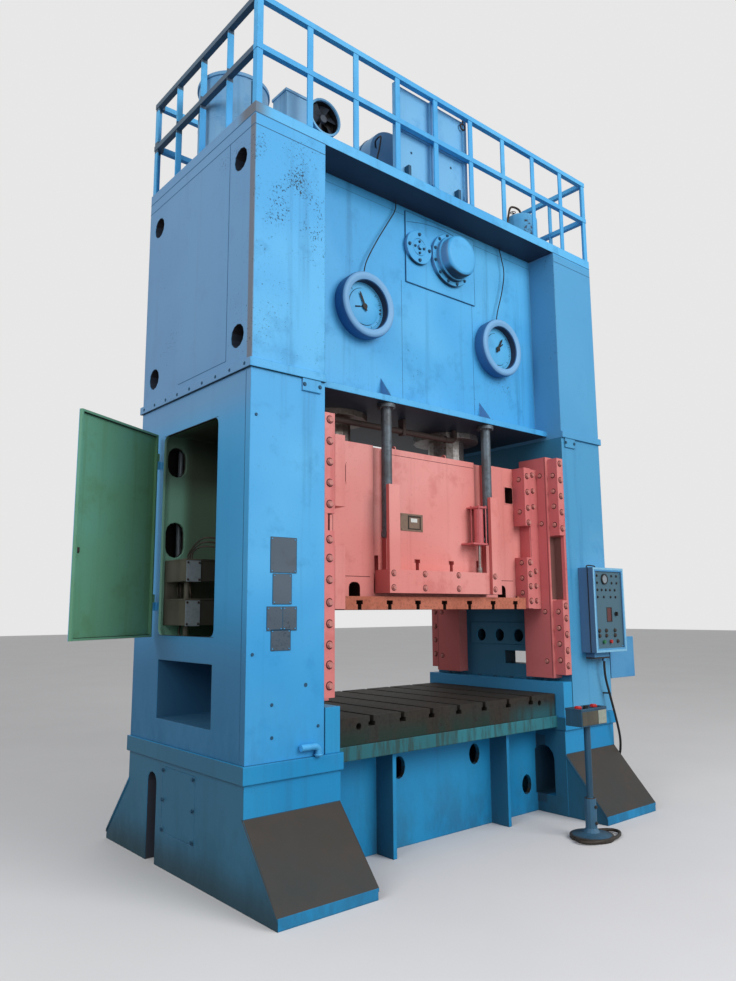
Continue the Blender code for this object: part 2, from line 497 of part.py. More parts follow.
def build_bed():
    """Welded bed: two corner blocks on feet, with a hollow box and the top plate between them."""
    block_top = BED_SEAT - FLANGE_HEIGHT
    half = CORNER_INNER + SINK
    middle = box_mesh((-half, half), (-BED_WALL_Y, BED_WALL_Y), (0.0, BED_PLATE_BOTTOM + SINK))
    bed = piece("bed", middle, "blue")
    corners = []
    flanges = []
    feet = []
    plates = []
    for side in SIDES.values():
        outer = side * HALF_WIDTH
        inner = side * (CORNER_INNER + FOOT_SIDE_STEP)
        edge = HALF_DEPTH + BAND_PROUD
        corners.append(box_mesh((side * CORNER_INNER, outer), (-HALF_DEPTH, HALF_DEPTH),
                                (0.0, block_top + SINK)))
        flanges.append(box_mesh((side * (CORNER_INNER - FLANGE_INSIDE), side * (HALF_WIDTH + BAND_PROUD)),
                                (-edge, edge), (block_top, BED_SEAT)))
        for end in ENDS.values():
            feet.append(prism_mesh(foot_outline(end), 0, inner, outer))
            plates.append(prism_mesh(foot_plate_outline(end), 0, inner - side * FOOT_PLATE_PROUD,
                                     outer + side * FOOT_PLATE_PROUD))
    fuse(bed, *corners)
    fuse(bed, *flanges)
    fuse(bed, *feet)
    fuse(bed, *plates)
    fuse(bed, box_mesh((-CORNER_INNER, CORNER_INNER), (-BED_PLATE_HALF_DEPTH, BED_PLATE_HALF_DEPTH),
                       (BED_PLATE_BOTTOM, BED_PLATE_TOP)))
    ribs = [box_mesh((left, left + RIB_THICKNESS), (end * (BED_WALL_Y - SINK), end * RIB_REACH),
                     (0.0, BED_PLATE_BOTTOM + SINK)) for left in RIB_X for end in ENDS.values()]
    fuse(bed, *ribs)
    inside = BED_WALL_Y - BED_WALL
    cut(bed, box_mesh((-CORNER_INNER + BED_WALL, CORNER_INNER - BED_WALL), (-inside, inside),
                      (BED_FLOOR, BED_PLATE_BOTTOM - BED_WALL)))
    cut(bed, *[oval_mesh(x, z, end * (inside - OVERCUT), end * (BED_WALL_Y + OVERCUT))
               for x, z in PORTHOLES for end in ENDS.values()])
    pockets = []
    for side in SIDES.values():
        arch = arch_outline(ARCH_Y, ARCH_WIDTH / 2.0, -OVERCUT, ARCH_TOP)
        pockets.append(prism_mesh(arch, 0, side * (HALF_WIDTH + OVERCUT), side * (HALF_WIDTH - ARCH_DEPTH)))
        for end in ENDS.values():
            middle = end * sum(POCKET_Y) / 2.0
            half = (POCKET_Y[1] - POCKET_Y[0]) / 2.0
            pockets.append(prism_mesh(arch_outline(middle, half, *POCKET_Z), 0, side * (CORNER_INNER - OVERCUT),
                                      side * (CORNER_INNER + POCKET_DEPTH)))
    cut(bed, *pockets)
    cut(bed, box_mesh((-HALF_WIDTH - OVERCUT, -HALF_WIDTH + PANEL_THICKNESS), PANEL_Y, PANEL_Z))
    cover_x = (-HALF_WIDTH, -HALF_WIDTH + PANEL_THICKNESS - GAP)
    cover_y = (PANEL_Y[0] + SKIN_GAP, PANEL_Y[1] - SKIN_GAP)
    cover_z = (PANEL_Z[0] + SKIN_GAP, PANEL_Z[1] - SKIN_GAP)
    piece("bed_access_panel", box_mesh(cover_x, cover_y, cover_z), "blue")


def build_bolster():
    """Bolster plate with T-slots, held between two key blocks."""
    width = BOLSTER_HALF_WIDTH
    bottom = BED_PLATE_TOP + GAP
    bolster = piece("bolster", box_mesh((-width, width), (-BOLSTER_HALF_DEPTH, BOLSTER_HALF_DEPTH),
                                        (bottom, BOLSTER_TOP)), "rusty")
    cut(bolster, *[slot_mesh(x, BOLSTER_TOP, -1, BOLSTER_HALF_DEPTH + OVERCUT) for x in slot_places()])
    holes = []
    for end in ENDS.values():
        for side in SIDES.values():
            holes.append(cylinder_mesh(LIFT_HOLE_RADIUS, (side * LIFT_HOLE_X, LIFT_HOLE_Z),
                                       end * (BOLSTER_HALF_DEPTH + OVERCUT),
                                       end * (BOLSTER_HALF_DEPTH - LIFT_HOLE_DEPTH), 1, ROUND_SMALL))
    cut(bolster, *holes)
    for name, side in SIDES.items():
        piece("key_block_" + name, box_mesh((side * KEY_INNER, side * KEY_OUTER), (-HALF_DEPTH, HALF_DEPTH),
                                            (BED_SEAT + GAP, KEY_TOP)), "blue")


# Uprights

def door_hinge_meshes():
    """Fixed halves of the two lift-off hinges: a leaf, a knuckle and a standing pin."""
    leaves, knuckles, pins = [], [], []
    for height in HINGE_HEIGHTS:
        leaves.append(box_mesh((HINGE_X, -HALF_WIDTH + SINK), about(HINGE_Y, HINGE_LEAF / 2.0),
                               (height, height + KNUCKLE)))
        knuckles.append(cylinder_mesh(HINGE_RADIUS, (HINGE_X, HINGE_Y), height, height + KNUCKLE,
                                      segments=ROUND_TINY))
        pins.append(cylinder_mesh(PIN_RADIUS, (HINGE_X, HINGE_Y), height + KNUCKLE - SINK,
                                  height + 2.0 * KNUCKLE - SINK, segments=ROUND_TINY))
    return leaves, knuckles, pins


def build_uprights():
    """Box uprights: the left one holds the cabinet, the right one has the shaft holes and window."""
    for name, side in SIDES.items():
        outer, inner = side * HALF_WIDTH, side * INNER
        upright = piece("upright_" + name, box_mesh((outer, inner), (-HALF_DEPTH, HALF_DEPTH),
                                                    (BED_SEAT + GAP, UPRIGHT_TOP - GAP)), "blue")
        tabs = [box_mesh(mirrored(TAB_X, side), (end * (HALF_DEPTH - SINK), end * (HALF_DEPTH + TAB_PROUD)),
                         (UPRIGHT_TOP - TAB_DROP, UPRIGHT_TOP - GAP)) for end in ENDS.values()]
        fuse(upright, *tabs)
        cut(upright, box_mesh((outer + side * OVERCUT, outer - side * NICHE_DEPTH), NICHE_Y, NICHE_Z))
        if name == "left":
            back = outer + CABINET_WALL
            cut(upright, box_mesh((back, outer + CABINET_DEPTH), (-CABINET_Y, CABINET_Y), CABINET_Z))
            doorway = rounded_outline((-DOORWAY_Y, DOORWAY_Z[0]), (DOORWAY_Y, DOORWAY_Z[1]),
                                      (DOORWAY_RADIUS,) * 4)
            cut(upright, prism_mesh(doorway, 0, outer - OVERCUT, back + OVERCUT))
            cut(upright, box_mesh(DUCT_X, DUCT_Y, DUCT_Z))
            near, far = DUCT_HOLE_X
            radius = (far - near) / 2.0 - DUCT_HOLE_FLAT
            holes = [prism_mesh(rounded_outline((near, low), (far, high), (radius,) * 4), 1,
                                CABINET_Y - OVERCUT, DUCT_Y[0] + OVERCUT) for low, high in DUCT_HOLES]
            cut(upright, *holes)
            leaves, knuckles, pins = door_hinge_meshes()
            fuse(upright, *leaves)
            fuse(upright, *knuckles)
            fuse(upright, *pins)
        else:
            fuse(upright, box_mesh((inner - SHAFT_PAD_PROUD, inner + SINK), SHAFT_PAD_Y, SHAFT_PAD_Z))
            mouth = inner - SHAFT_PAD_PROUD - OVERCUT
            floor = inner + SHAFT_HOLE_DEPTH
            cut(upright, *[cylinder_mesh(SHAFT_HOLE_RADIUS, (y, SHAFT_HOLE_Z), mouth, floor, 0)
                           for y in SHAFT_HOLES])
            cut(upright, box_mesh((mouth, outer - NICHE_DEPTH + OVERCUT), WINDOW_Y, WINDOW_Z))


# Crown

def build_crown():
    """Crown: pillars on both sides, a recessed middle, ledges, gussets and the cylinder bores."""
    wide, deep, recess = HALF_WIDTH, HALF_DEPTH, RECESS_Y
    plan = [(-wide, -deep), (-INNER, -deep), (-INNER, -recess), (INNER, -recess), (INNER, -deep), (wide, -deep),
            (wide, deep), (INNER, deep), (INNER, recess), (-INNER, recess), (-INNER, deep), (-wide, deep)]
    crown = piece("crown", prism_mesh(plan, 2, LEDGE_Z[0], CROWN_TOP), "blue")
    edge = deep + BAND_PROUD
    bands = [box_mesh((side * INNER, side * (wide + BAND_PROUD)), (-edge, edge),
                      (UPRIGHT_TOP, UPRIGHT_TOP + CROWN_BAND)) for side in SIDES.values()]
    fuse(crown, *bands)
    half = INNER + SINK
    ledges = [box_mesh((-half, half), (end * (recess - SINK), end * LEDGE_REACH), LEDGE_Z)
              for end in ENDS.values()]
    fuse(crown, *ledges)
    gussets = []
    low, high = LEDGE_Z[1] - SINK, LEDGE_Z[1] + GUSSET_HEIGHT
    for end in ENDS.values():
        outline = [(end * (recess - SINK), low), (end * (recess + GUSSET_DEPTH), low),
                   (end * (recess + GUSSET_DEPTH), LEDGE_Z[1]), (end * recess, high),
                   (end * (recess - SINK), high)]
        for side in SIDES.values():
            gussets.append(prism_mesh(outline, 0, *about(side * GUSSET_X, GUSSET_THICKNESS / 2.0)))
    fuse(crown, *gussets)
    plate = box_mesh(CENTRE_PLATE_X, (-recess - CENTRE_PLATE_THICKNESS, -recess + SINK), CENTRE_PLATE_Z)
    fuse(crown, plate)
    cut(crown, *[cylinder_mesh(CROWN_HOLE_RADIUS, (end * CROWN_HOLE_Y, height), side * (wide + OVERCUT),
                               side * (wide - CROWN_HOLE_DEPTH), 0, ROUND_SMALL)
                 for side in SIDES.values() for end in ENDS.values() for height in CROWN_HOLE_Z])
    cut(crown, *[cylinder_mesh(BARREL_RADIUS + GAP, (side * CYLINDER_X, 0.0), LEDGE_Z[0] - OVERCUT,
                               BARREL_TOP + OVERCUT, segments=ROUND_COARSE) for side in SIDES.values()])


def build_drive():
    """Cylinder barrels flanged to the crown's underside, and the plungers that stand on the ram."""
    for name, side in SIDES.items():
        centre = (side * CYLINDER_X, 0.0, 0.0)
        seat = LEDGE_Z[0] - GAP
        bottom = seat - BARREL_FLANGE
        bore = PLUNGER_RADIUS + GAP
        profile = [(bore, bottom), (BARREL_FLANGE_RADIUS, bottom), (BARREL_FLANGE_RADIUS, seat),
                   (BARREL_RADIUS, seat), (BARREL_RADIUS, BARREL_TOP), (bore, BARREL_TOP)]
        piece("cylinder_barrel_" + name, lathe_mesh(profile, ROUND_COARSE, centre), "steel", smooth=True)
        foot = RAM_TOP + GAP
        profile = [(0.0, foot), (PLUNGER_FOOT_RADIUS, foot), (PLUNGER_FOOT_RADIUS, foot + PLUNGER_FOOT),
                   (PLUNGER_RADIUS, foot + PLUNGER_FOOT), (PLUNGER_RADIUS, PLUNGER_TOP), (0.0, PLUNGER_TOP)]
        piece("plunger_" + name, lathe_mesh(profile, ROUND_COARSE, centre), "steel", smooth=True)


def build_stop_rods():
    for name, side in SIDES.items():
        top = LEDGE_Z[0] - GAP
        nut = ROD_BOTTOM + ROD_NUT
        profile = [(0.0, ROD_BOTTOM), (ROD_NUT_RADIUS, ROD_BOTTOM), (ROD_NUT_RADIUS, nut), (ROD_RADIUS, nut),
                   (ROD_RADIUS, top - ROD_FLANGE), (ROD_FLANGE_RADIUS, top - ROD_FLANGE),
                   (ROD_FLANGE_RADIUS, top), (0.0, top)]
        rod = lathe_mesh(profile, ROUND_COARSE, (side * ROD_X, -ROD_Y, 0.0))
        piece("stop_rod_" + name, rod, "steel", smooth=True)


# Ram and guides

def build_ram():
    """Ram body with its windows, rod channels, knock-out slots and T-notches."""
    ram = piece("ram", box_mesh((-RAM_HALF_WIDTH, RAM_HALF_WIDTH), (-RAM_HALF_DEPTH, RAM_HALF_DEPTH),
                                (RAM_PLATE_TOP + GAP, RAM_TOP)), "salmon")
    front = RAM_HALF_DEPTH + OVERCUT
    floor = RAM_HALF_DEPTH - ROD_CHANNEL_DEPTH
    channels, recesses, slots = [], [], []
    for side in SIDES.values():
        for end in ENDS.values():
            channels.append(box_mesh(mirrored(ROD_CHANNEL_X, side), (end * front, end * floor),
                                     (APRON_BOTTOM, RAM_TOP + OVERCUT)))
            low, high = sorted(mirrored(RAM_WINDOW_X, side))
            corners = (RAM_WINDOW_RADIUS,) * 4
            window = rounded_outline((low, RAM_WINDOW_Z[0]), (high, RAM_WINDOW_Z[1]), corners, 2)
            recesses.append(prism_mesh(window, 1, end * front, end * (RAM_HALF_DEPTH - RAM_WINDOW_DEPTH)))
            low, high = sorted(mirrored(RAM_ARCH_X, side))
            corners = (0.0, 0.0, RAM_ARCH_RADIUS, RAM_ARCH_RADIUS)
            arch = rounded_outline((low, RAM_PLATE_TOP - OVERCUT), (high, RAM_ARCH_TOP), corners)
            recesses.append(prism_mesh(arch, 1, end * front, end * (RAM_HALF_DEPTH - RAM_ARCH_DEPTH)))
            slot_y = (end * (floor + SINK), end * (RAM_HALF_DEPTH - KNOCK_SLOT_DEPTH))
            slots.append(box_mesh(mirrored(KNOCK_SLOT_X, side), slot_y, KNOCK_SLOT_Z))
    cut(ram, *channels)
    cut(ram, *recesses)
    cut(ram, *slots)
    throat, head = SLOT_THROAT / 2.0, SLOT_HEAD / 2.0
    notches = []
    for x in NOTCH_X:
        low, shoulder = APRON_BAR_TOP - OVERCUT, NOTCH_TOP - SLOT_HEAD_DEPTH
        outline = [(x - throat, low), (x + throat, low), (x + throat, shoulder), (x + head, shoulder),
                   (x + head, NOTCH_TOP), (x - head, NOTCH_TOP), (x - head, shoulder), (x - throat, shoulder)]
        notches.append(prism_mesh(outline, 1, -front, -RAM_HALF_DEPTH + NOTCH_DEPTH))
    gauge = box_mesh(about(GAUGE_CENTRE, GAUGE_HALF), (-front, -RAM_HALF_DEPTH + GAUGE_RECESS), GAUGE_Z)
    cut(ram, gauge, *notches)
    half = RAM_PLATE_HALF_WIDTH
    plate = piece("ram_plate", box_mesh((-half, half), (-RAM_PLATE_HALF_DEPTH, RAM_PLATE_HALF_DEPTH),
                                        (RAM_PLATE_BOTTOM, RAM_PLATE_TOP)), "rusty")
    cut(plate, *[slot_mesh(x, RAM_PLATE_BOTTOM, 1, RAM_PLATE_HALF_DEPTH + OVERCUT) for x in slot_places()])


def build_apron():
    """Bar and two upright plates on the ram's front, with the stop rods running behind the plates."""
    back = -RAM_HALF_DEPTH - GAP
    left = -APRON_X - APRON_WIDTH / 2.0
    apron = piece("apron", box_mesh((left, APRON_X + APRON_WIDTH / 2.0), (-APRON_Y + APRON_PLATE, back),
                                    (APRON_BOTTOM, APRON_BAR_TOP)), "salmon")
    rear = -APRON_Y + APRON_PLATE
    fuse(apron, box_mesh((left, APRON_BAR_END), (-APRON_Y, rear + SINK), (APRON_BOTTOM, APRON_BAR_TOP)))
    fuse(apron, *[box_mesh(about(side * APRON_X, APRON_WIDTH / 2.0), (-APRON_Y, rear + WELD),
                           (APRON_BOTTOM, APRON_TOP)) for side in SIDES.values()])


def build_guides():
    """Guide bars and gibs on the uprights, and slide shoes on the ram's corners."""
    for side_name, side in SIDES.items():
        for end_name, end in ENDS.items():
            label = end_name + "_" + side_name
            guide_face = side * (LINER_OUTER + GAP)
            wall = side * (INNER - GAP)
            guide = box_mesh((guide_face, wall), mirrored(GUIDE_Y, end), GUIDE_Z)
            piece("guide_bar_" + label, guide, "salmon")
            root, strip_x = end * (GUIDE_Y[1] + GAP), (wall, wall - side * GIB_STRIP)
            strip = box_mesh(strip_x, (root, end * GIB_Y), (GIB_LOW_BOTTOM, GIB_HIGH[1]))
            gib = piece("gib_" + label, strip, "salmon")
            spans = ((GIB_LOW_BOTTOM, GIB_LOW_TOP[side_name]), GIB_HIGH)
            fuse(gib, *[box_mesh((side * GIB_INNER, wall), (root, end * (GIB_Y + WELD)), span)
                        for span in spans])

            inner_x = side * (RAM_HALF_WIDTH + GAP)
            liner = box_mesh((inner_x, side * LINER_OUTER), mirrored(LINER_Y, end), (RAM_PLATE_BOTTOM, RAM_TOP))
            shoe = piece("slide_shoe_" + label, liner, "salmon")
            shoe_y = (end * (RAM_HALF_DEPTH + GAP), end * SHOE_Y)
            fuse(shoe, *[box_mesh((side * SHOE_INNER, inner_x + side * SINK), shoe_y, span)
                         for span in (SHOE_LOW, SHOE_HIGH)])


def build_air_cylinder():
    """Small air cylinder bracketed to the ram; its rod stands on the apron's bar."""
    centre = (AIR_X, -AIR_Y, 0.0)
    low, high = AIR_BODY_Z
    bore = AIR_ROD_RADIUS + GAP
    cap_low, cap_high = low + AIR_CAP, high - AIR_CAP
    profile = [(bore, low), (AIR_CAP_RADIUS, low), (AIR_CAP_RADIUS, cap_low), (AIR_RADIUS, cap_low),
               (AIR_RADIUS, cap_high), (AIR_CAP_RADIUS, cap_high), (AIR_CAP_RADIUS, high), (bore, high)]
    body = piece("air_cylinder", lathe_mesh(profile, ROUND_SMALL, centre), "salmon", smooth=True)
    back = -RAM_HALF_DEPTH - GAP
    edge = AIR_RADIUS - SINK
    low_lug = (low + AIR_LUG_INSET, low + AIR_LUG_INSET + AIR_LUG)
    high_lug = (high - AIR_LUG_INSET - AIR_LUG, high - AIR_LUG_INSET)
    lugs = [box_mesh((AIR_X - AIR_BRACKET_LEFT, AIR_X - edge), (-AIR_Y - AIR_BRACKET_FRONT, back), low_lug),
            box_mesh(about(AIR_X, AIR_LUG_HALF), (-AIR_Y + edge, back), high_lug)]
    fuse(body, *lugs)
    foot = APRON_BAR_TOP + GAP
    neck = foot + AIR_FOOT
    profile = [(0.0, foot), (AIR_FOOT_RADIUS, foot), (AIR_FOOT_RADIUS, neck), (AIR_ROD_RADIUS, neck),
               (AIR_ROD_RADIUS, AIR_ROD_TOP), (0.0, AIR_ROD_TOP)]
    piece("air_cylinder_rod", lathe_mesh(profile, ROUND_SMALL, centre), "steel", smooth=True)


# Front of the crown

def build_dials():
    """Two round dials, each with a raised inner ring, a pin and a pointer that turns on the pin."""
    wall = -RECESS_Y - GAP
    for name, side in SIDES.items():
        centre = (side * DIAL_X, 0.0, DIAL_Z)
        face = -RECESS_Y - DIAL_FACE_DEPTH
        front = -RECESS_Y - DIAL_DEPTH
        pin = face - DIAL_PIN_REACH
        profile = [(0.0, wall), (DIAL_RADIUS - DIAL_TAPER, wall), (DIAL_RADIUS, front + DIAL_EDGE),
                   (DIAL_RADIUS - DIAL_CHAMFER, front), (DIAL_OPENING, front + DIAL_LIP), (DIAL_OPENING, face),
                   (DIAL_PIN_RADIUS, face), (DIAL_PIN_RADIUS, pin), (0.0, pin)]
        piece("dial_" + name, lathe_mesh(profile, ROUND_MEDIUM, centre, axis=1), "blue", smooth=True)

        back = pin - GAP
        tip = back - POINTER_THICKNESS
        hub = [(0.0, back), (POINTER_HUB, back), (POINTER_HUB, tip), (0.0, tip)]
        pointer = piece("dial_pointer_" + name, lathe_mesh(hub, ROUND_SMALL, centre, axis=1), "black")
        half = POINTER_WIDTH / 2.0
        inside = POINTER_HUB - half
        neck = POINTER_LENGTH - POINTER_TIP
        hand = prism_mesh([(inside, -half), (neck, -half), (POINTER_LENGTH, 0.0), (neck, half), (inside, half)],
                          1, back - WELD, tip + WELD)
        tail = prism_mesh([(-POINTER_TAIL, -half), (-inside, -half), (-inside, half), (-POINTER_TAIL, half)],
                          1, back - WELD, tip + WELD)
        turn = Matrix.Rotation(-math.radians(POINTER_REST[name]), 4, "Y")
        for mesh in (hand, tail):
            mesh.transform(Matrix.Translation(Vector(centre)) @ turn)
        fuse(pointer, hand, tail)
        place_at(pointer, (centre[0], back, centre[2]))


def build_covers():
    """Domed cover and round port plate on the crown's centre plate."""
    seat = -RECESS_Y - CENTRE_PLATE_THICKNESS - GAP
    rim = seat - DOME_FLANGE
    end = seat - DOME_REACH
    middle_radius, middle = DOME_RADIUS - DOME_ROUND, end + DOME_ROUND
    corner = [(middle_radius + DOME_ROUND * math.cos(angle), middle - DOME_ROUND * math.sin(angle))
              for angle in (math.radians(45.0 * step) for step in range(3))]
    profile = [(0.0, seat), (DOME_FLANGE_RADIUS, seat), (DOME_FLANGE_RADIUS, rim), (DOME_COLLAR_RADIUS, rim),
               (DOME_COLLAR_RADIUS, rim - DOME_COLLAR), (DOME_RADIUS, rim - DOME_COLLAR), *corner, (0.0, end)]
    dome = lathe_mesh(profile, ROUND_MEDIUM, (DOME_CENTRE[0], 0.0, DOME_CENTRE[1]), axis=1)
    piece("dome_cover", dome, "blue", smooth=True)
    rim = seat - PORT_THICKNESS
    boss = rim - PORT_BOSS_HEIGHT
    profile = [(0.0, seat), (PORT_RADIUS, seat), (PORT_RADIUS, rim), (PORT_BOSS, rim), (PORT_BOSS, boss),
               (0.0, boss)]
    plate = lathe_mesh(profile, ROUND_MEDIUM, (PORT_CENTRE[0], 0.0, PORT_CENTRE[1]), axis=1)
    piece("port_plate", plate, "blue", smooth=True)


# Deck

def post_mesh(x, y, turn_x, turn_y, corner):
    """Post with its heel at (x, y): angle section at a corner, flat bar along X elsewhere."""
    leg, wall = POST_LEG, POST_WALL
    corners = [(0.0, 0.0), (leg, 0.0), (leg, wall), (wall, wall), (wall, leg), (0.0, leg)]
    if not corner:
        corners = [(0.0, 0.0), (leg, 0.0), (leg, wall), (0.0, wall)]
    outline = [(x + turn_x * across, y + turn_y * along) for across, along in corners]
    return prism_mesh(outline, 2, DECK_TOP + GAP, RAIL_TOP - RAIL_SIZE / 2.0)


def rail_mesh(height):
    """Square rail ring round the deck, at a height."""
    wide, deep = HALF_WIDTH - RAIL_INSET, HALF_DEPTH - RAIL_INSET
    low = height - RAIL_SIZE
    ring = bmesh.new()
    loops = []
    for inset, level in ((0.0, low), (0.0, height), (RAIL_SIZE, height), (RAIL_SIZE, low)):
        loops.append([ring.verts.new((x * (wide - inset), y * (deep - inset), level))
                      for x, y in ((-1, -1), (1, -1), (1, 1), (-1, 1))])
    for low_loop, high_loop in zip(loops, loops[1:] + loops[:1]):
        for step in range(4):
            following = (step + 1) % 4
            ring.faces.new((low_loop[step], low_loop[following], high_loop[following], high_loop[step]))
    bmesh.ops.recalc_face_normals(ring, faces=ring.faces)
    return ring


def build_guardrail():
    """Welded guardrail round the deck: a top rail, a middle rail and posts."""
    rail = piece("guardrail", together([rail_mesh(RAIL_TOP), rail_mesh(RAIL_MIDDLE)]), "blue")
    wide, deep = HALF_WIDTH - POST_INSET, HALF_DEPTH - POST_INSET
    posts = []
    for end in ENDS.values():
        for index in range(POSTS_FRONT):
            x = -wide + 2.0 * wide * index / (POSTS_FRONT - 1)
            turn = 1 if index < POSTS_FRONT - 1 else -1
            posts.append(post_mesh(x, end * deep, turn, -end, index in (0, POSTS_FRONT - 1)))
    for side in SIDES.values():
        for index in range(1, POSTS_SIDE - 1):
            y = -deep + 2.0 * deep * index / (POSTS_SIDE - 1)
            posts.append(post_mesh(side * wide, y, -side, 1, False))
    fuse(rail, *posts)


def build_deck():
    wide, deep = HALF_WIDTH, HALF_DEPTH
    deck = piece("deck", box_mesh((-wide, wide), (-deep, deep), (CROWN_TOP + GAP, DECK_TOP)), "blue")
    pin_x = (GATE_X[0] + GATE_FRAME / 2.0, GATE_X[1] - GATE_FRAME / 2.0)
    gate_y = GATE_Y + GATE_THICKNESS / 2.0
    floor = DECK_TOP - GATE_PIN_DEPTH
    radius = GATE_PIN_RADIUS + SKIN_GAP
    cut(deck, *[cylinder_mesh(radius, (x, gate_y), floor, DECK_TOP + OVERCUT, 2, ROUND_SMALL) for x in pin_x])
    gate = piece("guard_panel", box_mesh(GATE_X, (GATE_Y, GATE_Y + GATE_THICKNESS), GATE_Z), "blue")
    middle = sum(GATE_X) / 2.0
    rim_y = (GATE_Y - GATE_RIM, GATE_Y + WELD)
    bars = [box_mesh((x, x + GATE_FRAME), rim_y, GATE_Z)
            for x in (GATE_X[0], middle - GATE_FRAME / 2.0, GATE_X[1] - GATE_FRAME)]
    fuse(gate, *bars)
    fuse(gate, *[cylinder_mesh(GATE_PIN_RADIUS, (x, gate_y), floor + GAP, GATE_Z[0] + SINK, 2, ROUND_SMALL)
                 for x in pin_x])


def build_deck_equipment():
    """Oil tank, air receiver, header tank, fan and terminal box on the deck."""
    floor = DECK_TOP + GAP
    x, y = TANK_CENTRE
    wide, foot, lid = TANK_RADIUS + TANK_RIM, floor + TANK_RIM_HEIGHT, TANK_TOP - TANK_LID
    profile = [(0.0, floor), (wide, floor), (wide, foot), (TANK_RADIUS, foot), (TANK_RADIUS, lid), (wide, lid),
               (wide, TANK_TOP), (0.0, TANK_TOP)]
    piece("oil_tank", lathe_mesh(profile, ROUND_MEDIUM, (x, y, 0.0)), "blue", smooth=True)
    x, y = RECEIVER_CENTRE
    radius, spring = RECEIVER_RADIUS, RECEIVER_TOP - RECEIVER_DOME
    dome = [(radius * math.cos(angle), spring + RECEIVER_DOME * math.sin(angle))
            for angle in (math.radians(30.0 * step) for step in range(3))]
    profile = [(0.0, floor), (radius, floor), *dome, (0.0, RECEIVER_TOP)]
    piece("air_receiver", lathe_mesh(profile, ROUND_MEDIUM, (x, y, 0.0)), "blue", smooth=True)
    low, high = HEADER_X
    outline = rounded_outline((low, floor), (high, HEADER_TOP), (0.0, 0.0, HEADER_RADIUS, HEADER_RADIUS), 6)
    piece("header_tank", prism_mesh(outline, 1, *HEADER_Y), "blue", smooth=True)
    x, z = COWL_CENTRE
    front, back = COWL_Y
    inner, well, end = COWL_RADIUS - COWL_WALL, front + COWL_DEPTH, back + MOTOR_LENGTH
    profile = [(0.0, well), (inner, well), (inner, front), (COWL_RADIUS, front), (COWL_RADIUS, back),
               (MOTOR_RADIUS, back), (MOTOR_RADIUS, end), (0.0, end)]
    fan = piece("fan_motor", lathe_mesh(profile, ROUND_COARSE, (x, 0.0, z), axis=1), "blue", smooth=True)
    fuse(fan, box_mesh(about(x, MOTOR_FOOT_HALF), (back + MOTOR_FOOT_INSET, end - MOTOR_FOOT_INSET),
                       (floor, z - MOTOR_RADIUS / 2.0)))
    piece("terminal_box", box_mesh(DECK_BOX_X, DECK_BOX_Y, (floor, DECK_BOX_TOP)), "blue")


# Cabinet

def build_door():
    """Pressed door on lift-off hinges, standing open, with its quarter-turn latch."""
    near = HINGE_Y - HINGE_RADIUS - DOOR_EDGE_GAP
    far = HINGE_Y - DOOR_WIDTH - HINGE_RADIUS
    outer = HINGE_X - DOOR_THICKNESS / 2.0
    inner = outer + DOOR_THICKNESS
    door = piece("cabinet_door", box_mesh((outer, inner), (near, far), DOOR_Z), "green")
    cut(door, box_mesh((outer + DOOR_SKIN, inner + OVERCUT), (near - DOOR_RIM, far + DOOR_RIM),
                       (DOOR_Z[0] + DOOR_RIM, DOOR_Z[1] - DOOR_RIM)))
    latch_y = far + LATCH_INSET
    cut(door, cylinder_mesh(LATCH_SHAFT + TURN_GAP, (latch_y, LATCH_Z), outer - OVERCUT,
                            outer + DOOR_SKIN + OVERCUT, 0, ROUND_SMALL))
    leaves, knuckles, bores = [], [], []
    for height in HINGE_HEIGHTS:
        low, high = height + KNUCKLE + GAP, height + 2.0 * KNUCKLE
        leaves.append(box_mesh(about(HINGE_X, HINGE_LEAF / 2.0), (near - DOOR_EDGE_GAP, HINGE_Y), (low, high)))
        knuckles.append(cylinder_mesh(HINGE_RADIUS, (HINGE_X, HINGE_Y), low, high, segments=ROUND_TINY))
        bores.append(cylinder_mesh(PIN_RADIUS + TURN_GAP, (HINGE_X, HINGE_Y), low - OVERCUT, high + OVERCUT,
                                   segments=ROUND_TINY))
    fuse(door, *leaves)
    fuse(door, *knuckles)
    cut(door, *bores)

    flat = outer + DOOR_SKIN + GAP
    low, high = outer - LATCH_PROUD[0], outer - LATCH_PROUD[1]
    end = flat + LATCH_CAM_THICKNESS + LATCH_END
    shaft = cylinder_mesh(LATCH_SHAFT, (latch_y, LATCH_Z), high, end, 0, ROUND_SMALL)
    latch = piece("door_latch", shaft, "steel")
    fuse(latch, box_mesh((low, high), about(latch_y, LATCH_HANDLE_HALF),
                         (LATCH_Z - LATCH_HANDLE, LATCH_Z + LATCH_HANDLE_TOP)))
    fuse(latch, box_mesh((flat, flat + LATCH_CAM_THICKNESS), about(latch_y, LATCH_CAM_HALF),
                         (LATCH_Z - LATCH_CAM_TAIL, LATCH_Z + LATCH_CAM)))
    swing = (Matrix.Translation(Vector((HINGE_X, HINGE_Y, 0.0)))
             @ Matrix.Rotation(-math.radians(DOOR_OPEN_DEG), 4, "Z")
             @ Matrix.Translation(Vector((-HINGE_X, -HINGE_Y, 0.0))))
    pivot = bpy.data.objects.new("door_pivot", None)
    bpy.context.scene.collection.objects.link(pivot)
    pivot.matrix_world = swing
    for item in list(bpy.data.objects):
        if item.name.startswith(("cabinet_door", "door_latch")):
            item.parent = pivot


